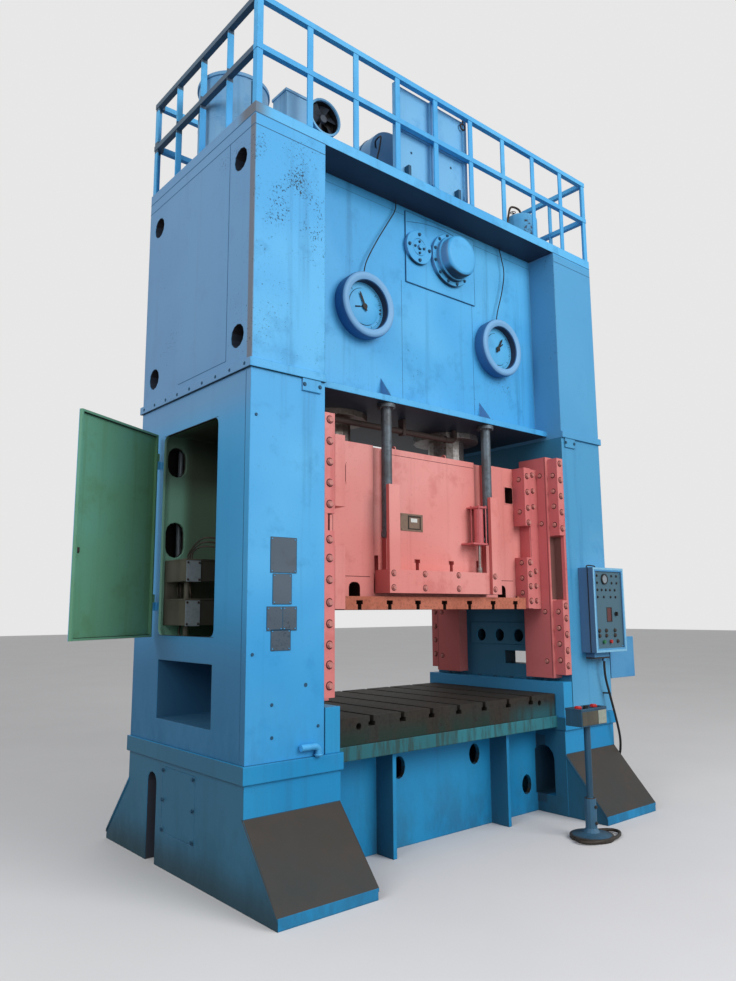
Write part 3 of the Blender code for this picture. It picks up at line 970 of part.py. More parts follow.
def build_valves():
    """Two valve housings in the cabinet, joined by their pipe and carried on one back plate."""
    plate = box_mesh(VALVE_PLATE_X, (VALVE_Y[1] - SINK, CABINET_Y - GAP), (VALVE_LOW[0], VALVE_HIGH[1]))
    stack = piece("valve_stack", plate, "grey")
    fuse(stack, *[box_mesh(VALVE_X, VALVE_Y, span) for span in (VALVE_LOW, VALVE_HIGH)])
    cap_y = (VALVE_Y[0] + VALVE_CAP_INSET[0], VALVE_Y[1] - VALVE_CAP_INSET[1])
    caps = [box_mesh((VALVE_X[1] - SINK, VALVE_CAP_X), cap_y, (low + VALVE_CAP_STEP, high - VALVE_CAP_STEP))
            for low, high in (VALVE_LOW, VALVE_HIGH)]
    fuse(stack, *caps)
    stem = (VALVE_X[0] + VALVE_STEM_INSET[0], VALVE_Y[0] + VALVE_STEM_INSET[1])
    for low, high in ((VALVE_LOW[1] - SINK, VALVE_HIGH[0] + SINK), (CABINET_Z[0] + GAP, VALVE_LOW[0] + SINK)):
        fuse(stack, cylinder_mesh(VALVE_STEM, stem, low, high, segments=ROUND_SMALL))


# Controls

def build_control_box():
    """Box on the right upright: a case with its shelf and gland, a door and the controls on it."""
    wall = -HALF_DEPTH - GAP
    front = -HALF_DEPTH - BOX_DEPTH
    low_x, high_x = BOX_X
    case = piece("control_box", box_mesh(BOX_X, (wall, front), BOX_Z), "blue")
    cut(case, box_mesh((low_x + BOX_WALL, high_x - BOX_WALL), (wall - BOX_WALL, front - OVERCUT),
                       (BOX_Z[0] + BOX_WALL, BOX_Z[1] - BOX_WALL)))
    shelf = BOX_Z[0] - SHELF_DROP
    fuse(case, box_mesh(SHELF_X, (wall, wall - SHELF_DEPTH), (shelf, BOX_Z[0] + WELD)))
    fuse(case, cylinder_mesh(GLAND_RADIUS, CABLE_TOP, shelf - GLAND_LENGTH, shelf + SINK, segments=ROUND_SMALL))

    lid_back = front - GAP
    lid_front = lid_back - LID_DEPTH
    lid = piece("control_door", box_mesh((low_x, high_x), (lid_back, lid_front), BOX_Z), "blue")
    panel_x = (low_x + LID_RIM, high_x - LID_RIM)
    panel_z = (BOX_Z[0] + LID_RIM, BOX_Z[1] - LID_RIM)
    panel = lid_front + LID_RECESS
    cut(lid, box_mesh(panel_x, (lid_front - OVERCUT, panel), panel_z))
    cut(lid, box_mesh(METER_X, (lid_front - OVERCUT, panel + METER_RECESS), METER_Z))
    bore = (panel - SINK, panel + BUTTON_BORE)
    bores = [cylinder_mesh(BUTTON_STEM + GAP, (x, BUTTON_Z), *bore, 1, ROUND_SMALL) for _, x in BUTTON_NODES]
    bores.append(cylinder_mesh(BUTTON_STEM + TURN_GAP, (SELECTOR_X, SELECTOR_Z), *bore, 1, ROUND_SMALL))
    cut(lid, *bores)
    place_at(lid, (high_x, lid_back, BOX_Z[0]))
    for tool in [item for item in bpy.data.objects if item.name.startswith("control_door_tool")]:
        tool.data.transform(Matrix.Translation(-lid.location))
        tool.location = lid.location

    for name, x in BUTTON_NODES:
        end, proud = panel + BUTTON_STEM_DEPTH, panel - BUTTON_TRAVEL - BUTTON_CLEAR
        top = proud - BUTTON_REACH
        profile = [(0.0, end), (BUTTON_STEM, end), (BUTTON_STEM, proud), (BUTTON_RADIUS, proud),
                   (BUTTON_RADIUS, top), (0.0, top)]
        piece(name, lathe_mesh(profile, ROUND_SMALL, (x, 0.0, BUTTON_Z), axis=1), "red", smooth=True)
    end, skirt = panel + SELECTOR_DEPTH, panel - GAP
    top = skirt - SELECTOR_SKIRT
    profile = [(0.0, end), (BUTTON_STEM, end), (BUTTON_STEM, skirt), (SELECTOR_RADIUS, skirt),
               (SELECTOR_RADIUS, top), (0.0, top)]
    skirt_mesh = lathe_mesh(profile, ROUND_SMALL, (SELECTOR_X, 0.0, SELECTOR_Z), axis=1)
    knob = piece("mode_selector", skirt_mesh, "black", smooth=True)
    half_x, half_z = SELECTOR_GRIP_HALF
    grip = (top + WELD, skirt - SELECTOR_GRIP)
    fuse(knob, box_mesh(about(SELECTOR_X, half_x), grip, about(SELECTOR_Z, half_z)))


def curve_points(points, samples):
    """Points on a Catmull-Rom curve through the given points."""
    ends = [2.0 * points[0] - points[1]] + points + [2.0 * points[-1] - points[-2]]
    result = []
    for index in range(1, len(ends) - 2):
        before, start, end, after = ends[index - 1:index + 3]
        for step in range(samples):
            t = step / samples
            result.append(0.5 * ((2.0 * start) + (end - before) * t
                                 + (2.0 * before - 5.0 * start + 4.0 * end - after) * t * t
                                 + (3.0 * start - before - 3.0 * end + after) * t ** 3))
    result.append(points[-1])
    return result


def cable(name, points, radius, samples, colour):
    data = bpy.data.curves.new(name, "CURVE")
    data.dimensions = "3D"
    data.bevel_depth = radius
    data.bevel_resolution = 2
    data.use_fill_caps = True
    route = curve_points([Vector(point) for point in points], samples)
    spline = data.splines.new("POLY")
    spline.points.add(len(route) - 1)
    for slot, point in zip(spline.points, route):
        slot.co = (*point, 1.0)
    item = bpy.data.objects.new(name, data)
    bpy.context.scene.collection.objects.link(item)
    data.materials.append(finish(colour))
    return item


# Each point: x from the outer face, y from the front face, and its share of the drop from gland to gland
CABLE_ROUTE = (
    (-0.2000, -0.0690, 1.0000),
    (-0.2000, -0.0690, 0.9774),
    (-0.2000, -0.0690, 0.9500),
    (-0.1880, -0.0660, 0.8770),
    (-0.1620, -0.0640, 0.8039),
    (-0.1340, -0.0660, 0.7308),
    (-0.1100, -0.0700, 0.6577),
    (-0.0880, -0.0750, 0.5846),
    (-0.0640, -0.0780, 0.5116),
    (-0.0380, -0.0780, 0.4385),
    (-0.0100, -0.0720, 0.3654),
    (0.0200, -0.0540, 0.2923),
    (0.0520, -0.0220, 0.2192),
    (0.0820, 0.0260, 0.1462),
    (0.1000, 0.0810, 0.0822),
    (0.1040, 0.1360, 0.0320),
    (0.0900, 0.1860, 0.0064),
    (0.0680, 0.2160, 0.0000),
    (0.0540, 0.2160, 0.0000),
    (0.0403, 0.2160, 0.0000),
)

# Each point: its share of the way in x from the dial to the deck, y from the crown's recess,
# and its share of the height from the dial to the deck
DIAL_CABLES = {
    "left": (
        (1.0000, -0.0300, 1.0000),
        (1.0000, -0.0300, 0.9811),
        (1.0000, -0.0300, 0.9618),
        (0.9459, -0.0360, 0.8654),
        (0.7081, -0.0430, 0.6853),
        (0.3730, -0.0440, 0.4281),
        (0.0811, -0.0460, 0.1709),
        (0.0000, -0.0480, 0.0423),
        (0.0000, -0.0480, 0.0204),
        (0.0000, -0.0480, 0.0000),
    ),
    "right": (
        (1.0000, -0.0300, 1.0000),
        (1.0000, -0.0300, 0.9811),
        (1.0000, -0.0300, 0.9618),
        (1.1789, -0.0360, 0.8654),
        (1.4316, -0.0430, 0.6725),
        (1.0000, -0.0440, 0.4153),
        (0.2632, -0.0460, 0.1581),
        (0.0000, -0.0480, 0.0423),
        (0.0000, -0.0480, 0.0204),
        (0.0000, -0.0480, 0.0000),
    ),
}


def build_cables():
    """Control cable down the right upright, and the thin cables from the deck to the dials."""
    high = BOX_Z[0] - SHELF_DROP - GLAND_LENGTH - GAP
    low = CABLE_END[1]
    route = [(HALF_WIDTH + x, -HALF_DEPTH + y, low + share * (high - low)) for x, y, share in CABLE_ROUTE]
    cable("control_cable", route, CABLE_RADIUS, 2, "black")
    low, high = DIAL_Z + DIAL_CABLE_END, CROWN_TOP - GAP
    for name, points in DIAL_CABLES.items():
        foot = SIDES[name] * DIAL_X
        route = [(foot + x * (DIAL_CABLE_TOP[name] - foot), y - RECESS_Y, low + share * (high - low))
                 for x, y, share in points]
        cable("dial_cable_" + name, route, DIAL_CABLE_RADIUS, 2, "black")


def build_side_box():
    """Junction box on the right-hand side of the right upright."""
    start = HALF_WIDTH + GAP
    box = piece("junction_box", box_mesh((start, start + SIDE_BOX_REACH), SIDE_BOX_Y, SIDE_BOX_Z), "blue")
    lip, near = SIDE_BOX_LIP, SIDE_BOX_Y[0]
    fuse(box, box_mesh((start + SIDE_BOX_COVER, start + SIDE_BOX_REACH + lip), (near - lip, near + SINK),
                       (SIDE_BOX_Z[0] - lip, SIDE_BOX_Z[1] + lip)))


def build_pedestal():
    """Two-hand stand: round cast foot, sleeve, pole and a head with two palm buttons."""
    x, y = STAND_CENTRE
    top = STAND_HEAD_Z[0] + SINK
    profile = [(0.0, 0.0), (STAND_FOOT_RADIUS, 0.0), (STAND_FOOT_RADIUS, STAND_FOOT),
               (STAND_SLEEVE_RADIUS + STAND_FILLET[0], STAND_FOOT + STAND_FILLET[0]),
               (STAND_SLEEVE_RADIUS, STAND_FOOT + STAND_FILLET[1]), (STAND_SLEEVE_RADIUS, STAND_SLEEVE_TOP),
               (STAND_POLE_RADIUS, STAND_SLEEVE_TOP), (STAND_POLE_RADIUS, top), (0.0, top)]
    stand = piece("two_hand_stand", lathe_mesh(profile, ROUND_SMALL, (x, y, 0.0)), "blue", smooth=True)
    fuse(stand, box_mesh(about(x, STAND_HEAD_HALF), about(y, STAND_HEAD_Y), STAND_HEAD_Z))
    top = STAND_HEAD_Z[1]
    places = {name: x + side * PALM_OFFSET for name, side in SIDES.items()}
    bore = (top - BUTTON_BORE, top + OVERCUT)
    cut(stand, *[cylinder_mesh(BUTTON_STEM + GAP, (place, y), *bore, segments=ROUND_SMALL)
                 for place in places.values()])
    for name, place in places.items():
        end, proud = top - PALM_STEM_DEPTH, top + PALM_TRAVEL + BUTTON_CLEAR
        crest = proud + PALM_HEIGHT
        profile = [(0.0, end), (BUTTON_STEM, end), (BUTTON_STEM, proud), (PALM_RADIUS, proud),
                   (PALM_RADIUS, crest - PALM_ROUND), (PALM_RADIUS - PALM_ROUND, crest), (0.0, crest)]
        piece("palm_button_" + name, lathe_mesh(profile, ROUND_SMALL, (place, y, 0.0)), "red", smooth=True)


def build_cable_socket():
    """Gland on the bed's right side, where the control cable goes in."""
    y, z = CABLE_END
    gland = cylinder_mesh(GLAND_RADIUS, (y, z), HALF_WIDTH - SINK, HALF_WIDTH + GLAND_LENGTH, 0, ROUND_SMALL)
    fuse(bpy.data.objects["bed"], gland)


def main():
    remove_scene_objects()
    build_bed()
    build_cable_socket()
    build_bolster()
    build_uprights()
    build_crown()
    build_drive()
    build_stop_rods()
    build_ram()
    build_apron()
    build_guides()
    build_air_cylinder()
    build_dials()
    build_covers()
    build_deck()
    build_guardrail()
    build_deck_equipment()
    build_door()
    build_valves()
    build_control_box()
    build_cables()
    build_side_box()
    build_pedestal()


main()
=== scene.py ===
import math

import bmesh
import bpy
import numpy as np
from mathutils import Matrix, Vector


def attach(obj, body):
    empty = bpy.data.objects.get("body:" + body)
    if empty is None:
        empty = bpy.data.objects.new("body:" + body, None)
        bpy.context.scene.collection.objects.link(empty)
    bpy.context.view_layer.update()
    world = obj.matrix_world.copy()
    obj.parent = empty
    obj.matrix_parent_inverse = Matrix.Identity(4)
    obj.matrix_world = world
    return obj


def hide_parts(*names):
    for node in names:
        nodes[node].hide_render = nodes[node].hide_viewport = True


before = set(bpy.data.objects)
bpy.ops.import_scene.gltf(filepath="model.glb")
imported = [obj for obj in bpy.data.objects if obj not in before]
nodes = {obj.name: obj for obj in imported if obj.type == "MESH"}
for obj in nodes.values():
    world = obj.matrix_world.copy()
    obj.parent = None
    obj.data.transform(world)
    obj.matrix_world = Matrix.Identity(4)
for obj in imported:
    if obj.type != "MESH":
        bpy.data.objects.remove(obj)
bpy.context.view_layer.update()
print("frame loaded:", len(nodes), "nodes")

# Camera, at the photograph's place; yaw turns from +Y towards +X
cameraSetup = {"place": (-4.597, -5.090, 1.767), "yaw": 40.26, "pitch": 8.84, "roll": -0.357, "lens": 28.40}


def makeCamera(setup):
    yaw, pitch, roll = (math.radians(setup[key]) for key in ("yaw", "pitch", "roll"))
    forward = Vector((math.sin(yaw) * math.cos(pitch), math.cos(yaw) * math.cos(pitch), math.sin(pitch)))
    level = Vector((math.cos(yaw), -math.sin(yaw), 0.0))
    upright = level.cross(forward)
    right = math.cos(roll) * level + math.sin(roll) * upright
    up = -math.sin(roll) * level + math.cos(roll) * upright
    data = bpy.data.cameras.new("camera")
    data.lens = setup["lens"]
    data.clip_end = 200.0
    camera = bpy.data.objects.new("camera", data)
    bpy.context.scene.collection.objects.link(camera)
    turn = Matrix((right, up, -forward)).transposed()
    camera.matrix_world = Matrix.Translation(setup["place"]) @ turn.to_4x4()
    bpy.context.scene.camera = camera


makeCamera(cameraSetup)
bpy.context.scene.view_settings.view_transform = "Standard"


# Material nodes. Every pattern reads Object coordinates, so it stays on a piece that moves.

class Nodes:
    def __init__(self, name):
        self.material = bpy.data.materials.new(name)
        self.material.use_nodes = True
        self.tree = self.material.node_tree
        self.shader = self.tree.nodes["Principled BSDF"]
        self.place = self.add("ShaderNodeTexCoord").outputs["Object"]

    def add(self, kind, **settings):
        node = self.tree.nodes.new(kind)
        for key, value in settings.items():
            setattr(node, key, value)
        return node

    def put(self, socket, value):
        if isinstance(value, bpy.types.NodeSocket):
            self.tree.links.new(value, socket)
        elif isinstance(value, (tuple, list)) and len(value) == 3 and socket.type == "RGBA":
            socket.default_value = (*value, 1.0)
        else:
            socket.default_value = value

    def sums(self, kind, first, second=0.0):
        node = self.add("ShaderNodeMath", operation=kind)
        self.put(node.inputs[0], first)
        self.put(node.inputs[1], second)
        return node.outputs[0]

    def times(self, first, second):
        return self.sums("MULTIPLY", first, second)

    def minus(self, first, second):
        return self.sums("SUBTRACT", first, second)

    def size(self, value):
        return self.sums("ABSOLUTE", value)

    def spread(self, value, low, high, start=0.0, end=1.0):
        node = self.add("ShaderNodeMapRange", interpolation_type="SMOOTHSTEP")
        for socket, item in zip(node.inputs, (value, low, high, start, end)):
            self.put(socket, item)
        return node.outputs[0]

    def blend(self, amount, first, second):
        node = self.add("ShaderNodeMix", data_type="RGBA")
        self.put(node.inputs[0], amount)
        self.put(node.inputs[6], first)
        self.put(node.inputs[7], second)
        return node.outputs[2]

    def over(self, color, mask, depth, shade):
        # the shade laid over the color where the mask is 1, as strongly as depth says
        return self.blend(self.times(mask, depth), color, shade)

    def noise(self, scale, detail=3.0, rough=0.6, stretch=(1.0, 1.0, 1.0), shift=0.0):
        move = self.add("ShaderNodeMapping")
        move.inputs["Scale"].default_value = stretch
        move.inputs["Location"].default_value = (shift, shift * 0.7, shift * 1.3)
        self.tree.links.new(self.place, move.inputs["Vector"])
        node = self.add("ShaderNodeTexNoise")
        self.tree.links.new(move.outputs[0], node.inputs["Vector"])
        node.inputs["Scale"].default_value = scale
        node.inputs["Detail"].default_value = detail
        node.inputs["Roughness"].default_value = rough
        return node.outputs["Fac"]

    def parts(self, vector):
        node = self.add("ShaderNodeSeparateXYZ")
        self.tree.links.new(vector, node.inputs[0])
        return node.outputs

    def along(self, axis):
        return self.parts(self.place)[axis]

    def vector(self, kind, first, second=(0.0, 0.0, 0.0), output=0):
        node = self.add("ShaderNodeVectorMath", operation=kind)
        self.put(node.inputs[0], first)
        self.put(node.inputs[1], second)
        return node.outputs[output]

    def facing(self, axis):
        return self.parts(self.add("ShaderNodeNewGeometry").outputs["Normal"])[axis]

    def zone(self, spans, soft=0.002, mirrored=False):
        # 1 inside the span x from, x to, y from, y to, z from, z to; 0 from soft outside it. A mirrored span
        # is given for positive x and y and counts at both sides and both ends.
        low, high = np.array(spans[0::2], float), np.array(spans[1::2], float)
        place = self.vector("ABSOLUTE", self.place) if mirrored else self.place
        away = self.vector("SUBTRACT", place, tuple((low + high) / 2.0))
        away = self.vector("SUBTRACT", self.vector("ABSOLUTE", away), tuple((high - low) / 2.0))
        x, y, z = self.parts(away)[:3]
        return self.spread(self.sums("MAXIMUM", self.sums("MAXIMUM", x, y), z), soft, 0.0)

    def past(self, normal, level, soft=0.001):
        # 1 where the place lies further along the normal than level
        along = self.vector("DOT_PRODUCT", self.place, normal, 1)
        return self.spread(along, level - soft, level)

    def edges(self, radius):
        # rounded normal against the flat one: 0 on a face, towards 1 near a sharp edge
        rounded = self.add("ShaderNodeBevel", samples=6)
        rounded.inputs["Radius"].default_value = radius
        flat = self.add("ShaderNodeNewGeometry").outputs["Normal"]
        return rounded.outputs[0], self.minus(1.0, self.vector("DOT_PRODUCT", rounded.outputs[0], flat, 1))

    def finish(self, color, rough, bumpFrom=None, bumpDepth=0.002, normal=None, metal=0.0, coat=0.0):
        self.put(self.shader.inputs["Base Color"], color)
        self.put(self.shader.inputs["Roughness"], rough)
        self.put(self.shader.inputs["Metallic"], metal)
        self.shader.inputs["Specular IOR Level"].default_value = 0.22
        if coat:
            self.shader.inputs["Coat Weight"].default_value = coat
            self.shader.inputs["Coat Roughness"].default_value = 0.25
        if bumpFrom is not None:
            bump = self.add("ShaderNodeBump")
            bump.inputs["Distance"].default_value = bumpDepth
            bump.inputs["Strength"].default_value = 0.6
            self.put(bump.inputs["Height"], bumpFrom)
            if normal is not None:
                self.tree.links.new(normal, bump.inputs["Normal"])
            self.tree.links.new(bump.outputs[0], self.shader.inputs["Normal"])
        elif normal is not None:
            self.tree.links.new(normal, self.shader.inputs["Normal"])
        return self.material


# Worn paint: faded patches, fine speckle, runs of dirt downwards, chips down to the metal, worn edges and
# grime low down; where a side color is given, painted shade with dust and wear on the faces that look
# sideways. Each area is (a function that makes its mask from the nodes, color, depth).
paintDefaults = {
    "paint": (0.058, 0.345, 0.680), "faded": (0.092, 0.415, 0.740), "deep": (0.026, 0.215, 0.46),
    "runs": (0.020, 0.14, 0.29), "chip": (0.030, 0.070, 0.115), "rust": (0.060, 0.062, 0.070),
    "grime": (0.040, 0.046, 0.048), "side": None, "chips": 0.5, "chipSize": 26.0, "streaks": 0.35,
    "grimeTop": 0.9, "grimeReach": 0.9, "grimeDepth": 0.55, "edge": 0.5, "rough": 0.46, "round": 0.010,
    "bump": 0.0016, "shift": 0.0, "worn": (), "areas": (),
}


def wornPaint(name, **changes):
    look = {**paintDefaults, **changes}
    n = Nodes(name)
    shift = look["shift"]
    wide = n.noise(0.9, 2.0, 0.5, shift=shift)
    patch = n.noise(4.5, 4.0, 0.65, shift=shift + 3.0)
    fine = n.noise(60.0, 3.0, 0.7, shift=shift)
    runs = n.noise(9.0, 4.0, 0.62, stretch=(1.0, 1.0, 0.045), shift=shift + 9.0)
    color = n.blend(n.spread(wide, 0.40, 0.64), look["paint"], look["faded"])
    color = n.over(color, n.spread(patch, 0.52, 0.72), 0.40, look["deep"])
    color = n.over(color, n.spread(runs, 0.52, 0.74), look["streaks"], look["runs"])
    color = n.over(color, n.spread(fine, 0.58, 0.72), 0.16, look["grime"])
    if look["side"]:
        # painted shade on the faces that look sideways, mixed with their dust and wear
        color = n.blend(n.spread(n.size(n.facing(0)), 0.7, 0.9, 0.0, 0.75), color, look["side"])
    for area, shade, depth in look["areas"]:
        color = n.over(color, area(n), depth, shade)
    normal, edge = n.edges(look["round"])
    # chips: small spots, thicker where a slow pattern is high, inside the worn spans and along edges
    spots = n.noise(look["chipSize"], 6.0, 0.72, shift=shift + 5.0)
    where = n.spread(n.noise(1.3, 3.0, 0.6, shift=shift + 12.0), 0.50, 0.70)
    level = n.minus(0.735 - 0.04 * look["chips"], n.times(where, 0.10 * look["chips"]))
    for span, depth in look["worn"]:
        ragged = n.spread(n.noise(3.1, 3.0, 0.6, shift=shift + 2.0), 0.36, 0.62)
        level = n.minus(level, n.times(n.times(n.zone(span, 0.14), ragged), depth))
    level = n.minus(level, n.times(n.spread(edge, 0.02, 0.25), 0.16 * look["edge"]))
    chipped = n.sums("GREATER_THAN", spots, level)
    halo = n.spread(n.minus(spots, level), -0.045, 0.0)
    metal = n.blend(n.spread(patch, 0.42, 0.60), look["chip"], look["rust"])
    color = n.over(color, halo, 0.22, look["rust"])
    color = n.blend(chipped, color, metal)
    # grime grows downwards from grimeTop
    stains = n.spread(n.noise(3.2, 5.0, 0.7, stretch=(1.0, 1.0, 0.5), shift=shift + 20.0), 0.36, 0.66)
    low = n.spread(n.along(2), look["grimeTop"], look["grimeTop"] - look["grimeReach"])
    dirt = n.times(stains, low)
    color = n.over(color, dirt, look["grimeDepth"], look["grime"])
    rough = n.sums("ADD", look["rough"], n.times(n.sums("ADD", chipped, dirt), 0.25))
    lift = n.minus(n.times(n.noise(14.0, 3.0, 0.5, shift=shift), 0.5), chipped)
    return n.finish(color, rough, lift, look["bump"], normal)


def inside(span, shade, depth, soft=0.002, within=None, mirrored=False):
    # an area of one span, cut off at the edge of a second one where that is given
    def mask(n):
        part = n.zone(span, soft, mirrored)
        return n.times(part, n.zone(within)) if within else part
    return mask, shade, depth


def turnedTo(axis, start, full, shade, depth, heights=None, both=False):
    # an area of the faces turned along an axis: none at start, all at full, faded in between two heights
    def mask(n):
        part = n.spread(n.size(n.facing(axis)) if both else n.facing(axis), start, full)
        return n.times(part, n.spread(n.along(2), *heights)) if heights else part
    return mask, shade, depth


bluePaint = wornPaint("bluePaint", paint=(0.020, 0.265, 0.53), faded=(0.035, 0.30, 0.57),
                      side=(0.045, 0.25, 0.50))
# Right upright: painted shade, near black, on the walls inside its hollow
rightPaint = wornPaint("rightPaint", paint=(0.062, 0.285, 0.51), faded=(0.090, 0.33, 0.56),
                       side=(0.022, 0.135, 0.24),
                       areas=(inside((1.396, 1.994, -0.62, 0.62, 0.86, 3.36), (0.012, 0.026, 0.038), 0.9),))

# Left upright: painted shade makes its side darker low down and its front a deeper blue low down; its side is
# greyer high up. The cabinet is green: painted light makes its back wall paler at the left, and painted shade
# makes it darker at the right and dark at the top and in front; painted shade also darkens the holes behind
# the back wall and the niche below.
cabinetSpan = (-1.9975, -1.45, -0.46, 0.474, 1.57, 3.14)
leftAreas = (
    turnedTo(0, 0.7, 0.9, (0.018, 0.105, 0.22), 0.80, (1.95, 1.30), True),
    turnedTo(1, -0.7, -0.9, (0.018, 0.26, 0.58), 0.6, (2.1, 1.3)),
    turnedTo(0, 0.7, 0.9, (0.14, 0.25, 0.42), 0.6, (3.0, 3.3), True),
    inside(cabinetSpan, (0.160, 0.320, 0.225), 1.0),
    inside((-1.9975, -1.84, 0.40, 0.474, 1.57, 3.14), (0.230, 0.470, 0.370), 0.9, 0.12, cabinetSpan),
    inside((-1.72, -1.45, 0.40, 0.474, 1.57, 3.14), (0.100, 0.140, 0.105), 0.85, 0.12, cabinetSpan),
    inside((-1.52, -1.44, -0.46, 0.40, 1.57, 3.14), (0.150, 0.285, 0.190), 1.0),
    inside((-1.80, -1.45, -0.46, 0.30, 2.97, 3.20), (0.030, 0.017, 0.014), 0.95, 0.38, cabinetSpan),
    inside((-1.9985, -1.45, -0.60, -0.36, 1.5, 3.14), (0.034, 0.036, 0.026), 0.80, 0.48, cabinetSpan),
    inside((-1.99, -1.60, 0.474, 0.72, 1.60, 3.10), (0.030, 0.028, 0.026), 1.0),
    inside((-1.9975, -1.50, -0.43, 0.42, 0.98, 1.43), (0.030, 0.10, 0.19), 0.92),
)
leftPaint = wornPaint("leftPaint", side=(0.052, 0.26, 0.51), shift=3.0, grimeTop=1.5, grimeDepth=0.30,
                      grime=(0.030, 0.08, 0.11), areas=leftAreas)

# Crown: painted shade on its underside and in its side holes, a redder right pillar, a worn strip along the
# left front edge
crownWear = (((-2.01, -1.38, -0.845, -0.835, 3.35, 5.14), 0.075),
             ((-1.95, -1.45, -0.845, -0.835, 4.3, 4.95), 0.050),
             ((-2.01, -1.99, -0.72, -0.44, 3.5, 5.0), 0.06))
crownAreas = (
    turnedTo(2, -0.5, -0.8, (0.016, 0.014, 0.016), 0.93),
    inside((1.39, 2.01, -0.9, 0.9, 3.3, 5.2), (0.068, 0.285, 0.51), 0.8),
    *[inside((1.74, 1.996, 0.55, 0.75, low, low + 0.20), (0.035, 0.026, 0.028), 0.94, mirrored=True)
      for low in (3.53, 4.84)],
    inside((-2.01, -1.9985, -0.845, -0.785, 3.44, 5.2), (0.130, 0.115, 0.105), 0.75, 0.012),
)
crownPaint = wornPaint("crownPaint", chips=0.9, chipSize=58.0, rust=(0.035, 0.065, 0.095), grimeTop=0.0,
                       shift=31.0, side=(0.13, 0.235, 0.40), worn=crownWear, areas=crownAreas)
# Deck: painted shade on its underside, and a brown patch at the front of its left side
deckPaint = wornPaint("deckPaint", chips=0.15, grimeTop=0.0, shift=23.0, side=(0.13, 0.235, 0.40), areas=(
    turnedTo(2, -0.5, -0.8, (0.024, 0.019, 0.030), 0.95),
    inside((-2.2, -1.9995, -1.0, -0.72, 5.10, 5.32), (0.110, 0.095, 0.085), 0.8, 0.16)))
# Rails: the left rails along the side are dark brown with painted shade
railPaint = wornPaint("railPaint", chips=0.3, grimeTop=0.0, round=0.004, streaks=0.2, shift=8.0, areas=[
    inside((-2.03, -1.93, -0.78, 0.84, low, low + 0.10), (0.050, 0.040, 0.034), 0.82)
    for low in (5.70, 6.10)])
panelPaint = wornPaint("panelPaint", paint=(0.145, 0.40, 0.66), faded=(0.17, 0.42, 0.70), chips=0.2,
                       streaks=0.1, grimeTop=0.0, shift=27.0)

# Bed: teal strip with dirt runs under the bolster, painted shade in the slot, in the left foot's hollow at
# the rear and low down on the side, and the feet's dark sloped plates
seatStrip = (-1.26, 1.26, -0.765, -0.748, 0.735, 0.842)
bedSide = (-2.02, -1.997, -1.3, 1.3, -0.01, 0.83)


def seatRuns(n):
    runs = n.noise(16.0, 4.0, 0.7, stretch=(1.0, 1.0, 0.12), shift=2.0)
    return n.times(n.zone(seatStrip), n.spread(runs, 0.46, 0.62))


def footPlates(n):
    # the sloped plates are the only faces of the feet that look both forwards and upwards
    return n.times(n.spread(n.facing(2), 0.15, 0.25), n.spread(n.facing(2), 0.97, 0.93))


def footStain(n):
    return n.times(footPlates(n), n.spread(n.noise(2.6, 4.0, 0.65, shift=6.0), 0.42, 0.60))


bedAreas = (
    inside(seatStrip, (0.022, 0.105, 0.092), 0.85),
    inside((0.10, *seatStrip[1:]), (0.030, 0.190, 0.235), 0.70, 0.35, seatStrip),
    (seatRuns, (0.026, 0.036, 0.026), 0.65),
    inside((-1.996, -1.30, 0.22, 0.62, -0.01, 0.68), (0.055, 0.034, 0.028), 0.9),
    inside((1.262, 1.996, -0.60, 0.60, 0.10, 0.64), (0.030, 0.034, 0.036), 0.75, 0.03),
    inside((*bedSide[:5], 0.02), (0.012, 0.032, 0.040), 0.75, 0.26, bedSide),
    (footPlates, (0.034, 0.030, 0.026), 1.0),
    (footStain, (0.042, 0.033, 0.027), 0.7),
)
bedPaint = wornPaint("bedPaint", paint=(0.012, 0.235, 0.50), faded=(0.020, 0.26, 0.52), chips=0.35,
                     grimeTop=0.75, grime=(0.028, 0.050, 0.060), grimeDepth=0.45, streaks=0.30, shift=44.0,
                     side=(0.023, 0.075, 0.106), areas=bedAreas)

# Tanks, dials, control box and stand
smallPaint = wornPaint("smallPaint", chips=0.3, grimeTop=0.0, round=0.004, streaks=0.2, shift=8.0)
tankPaint = wornPaint("tankPaint", paint=(0.13, 0.30, 0.50), faded=(0.17, 0.35, 0.53), chips=0.3,
                      grimeTop=0.0, round=0.004, shift=11.0)
# Dials: the front of the ring is a paler blue, and painted shade darkens the ring's walls
dialPaint = wornPaint("dialPaint", chips=0.15, streaks=0.15, grimeTop=0.0, round=0.003, shift=14.0, areas=(
    (lambda n: n.past((0.0, -1.0, 0.0), 0.62, 0.02), (0.17, 0.36, 0.60), 0.9),
    turnedTo(1, 0.65, 0.35, (0.026, 0.105, 0.27), 0.9, both=True)))
boxPaint = wornPaint("boxPaint", paint=(0.060, 0.25, 0.50), faded=(0.08, 0.29, 0.53), chips=0.25,
                     grimeTop=0.0, round=0.004, streaks=0.25, shift=19.0, side=(0.062, 0.103, 0.185),
                     areas=(inside((1.585, 2.02, -0.9835, -0.975, 1.41, 2.12), (0.062, 0.130, 0.175), 1.0),))
standPaint = wornPaint("standPaint", paint=(0.020, 0.062, 0.105), faded=(0.030, 0.085, 0.14),
                       deep=(0.012, 0.034, 0.06), chips=0.6, grimeTop=0.7, grimeDepth=0.75, round=0.004,
                       shift=29.0, areas=(
    inside((0.3, 1.4, -1.8, -0.9, -0.01, 0.032), (0.030, 0.029, 0.027), 0.95),
    inside((0.3, 1.4, -1.8, -0.9, 0.052, 0.31), (0.045, 0.13, 0.22), 0.8)))
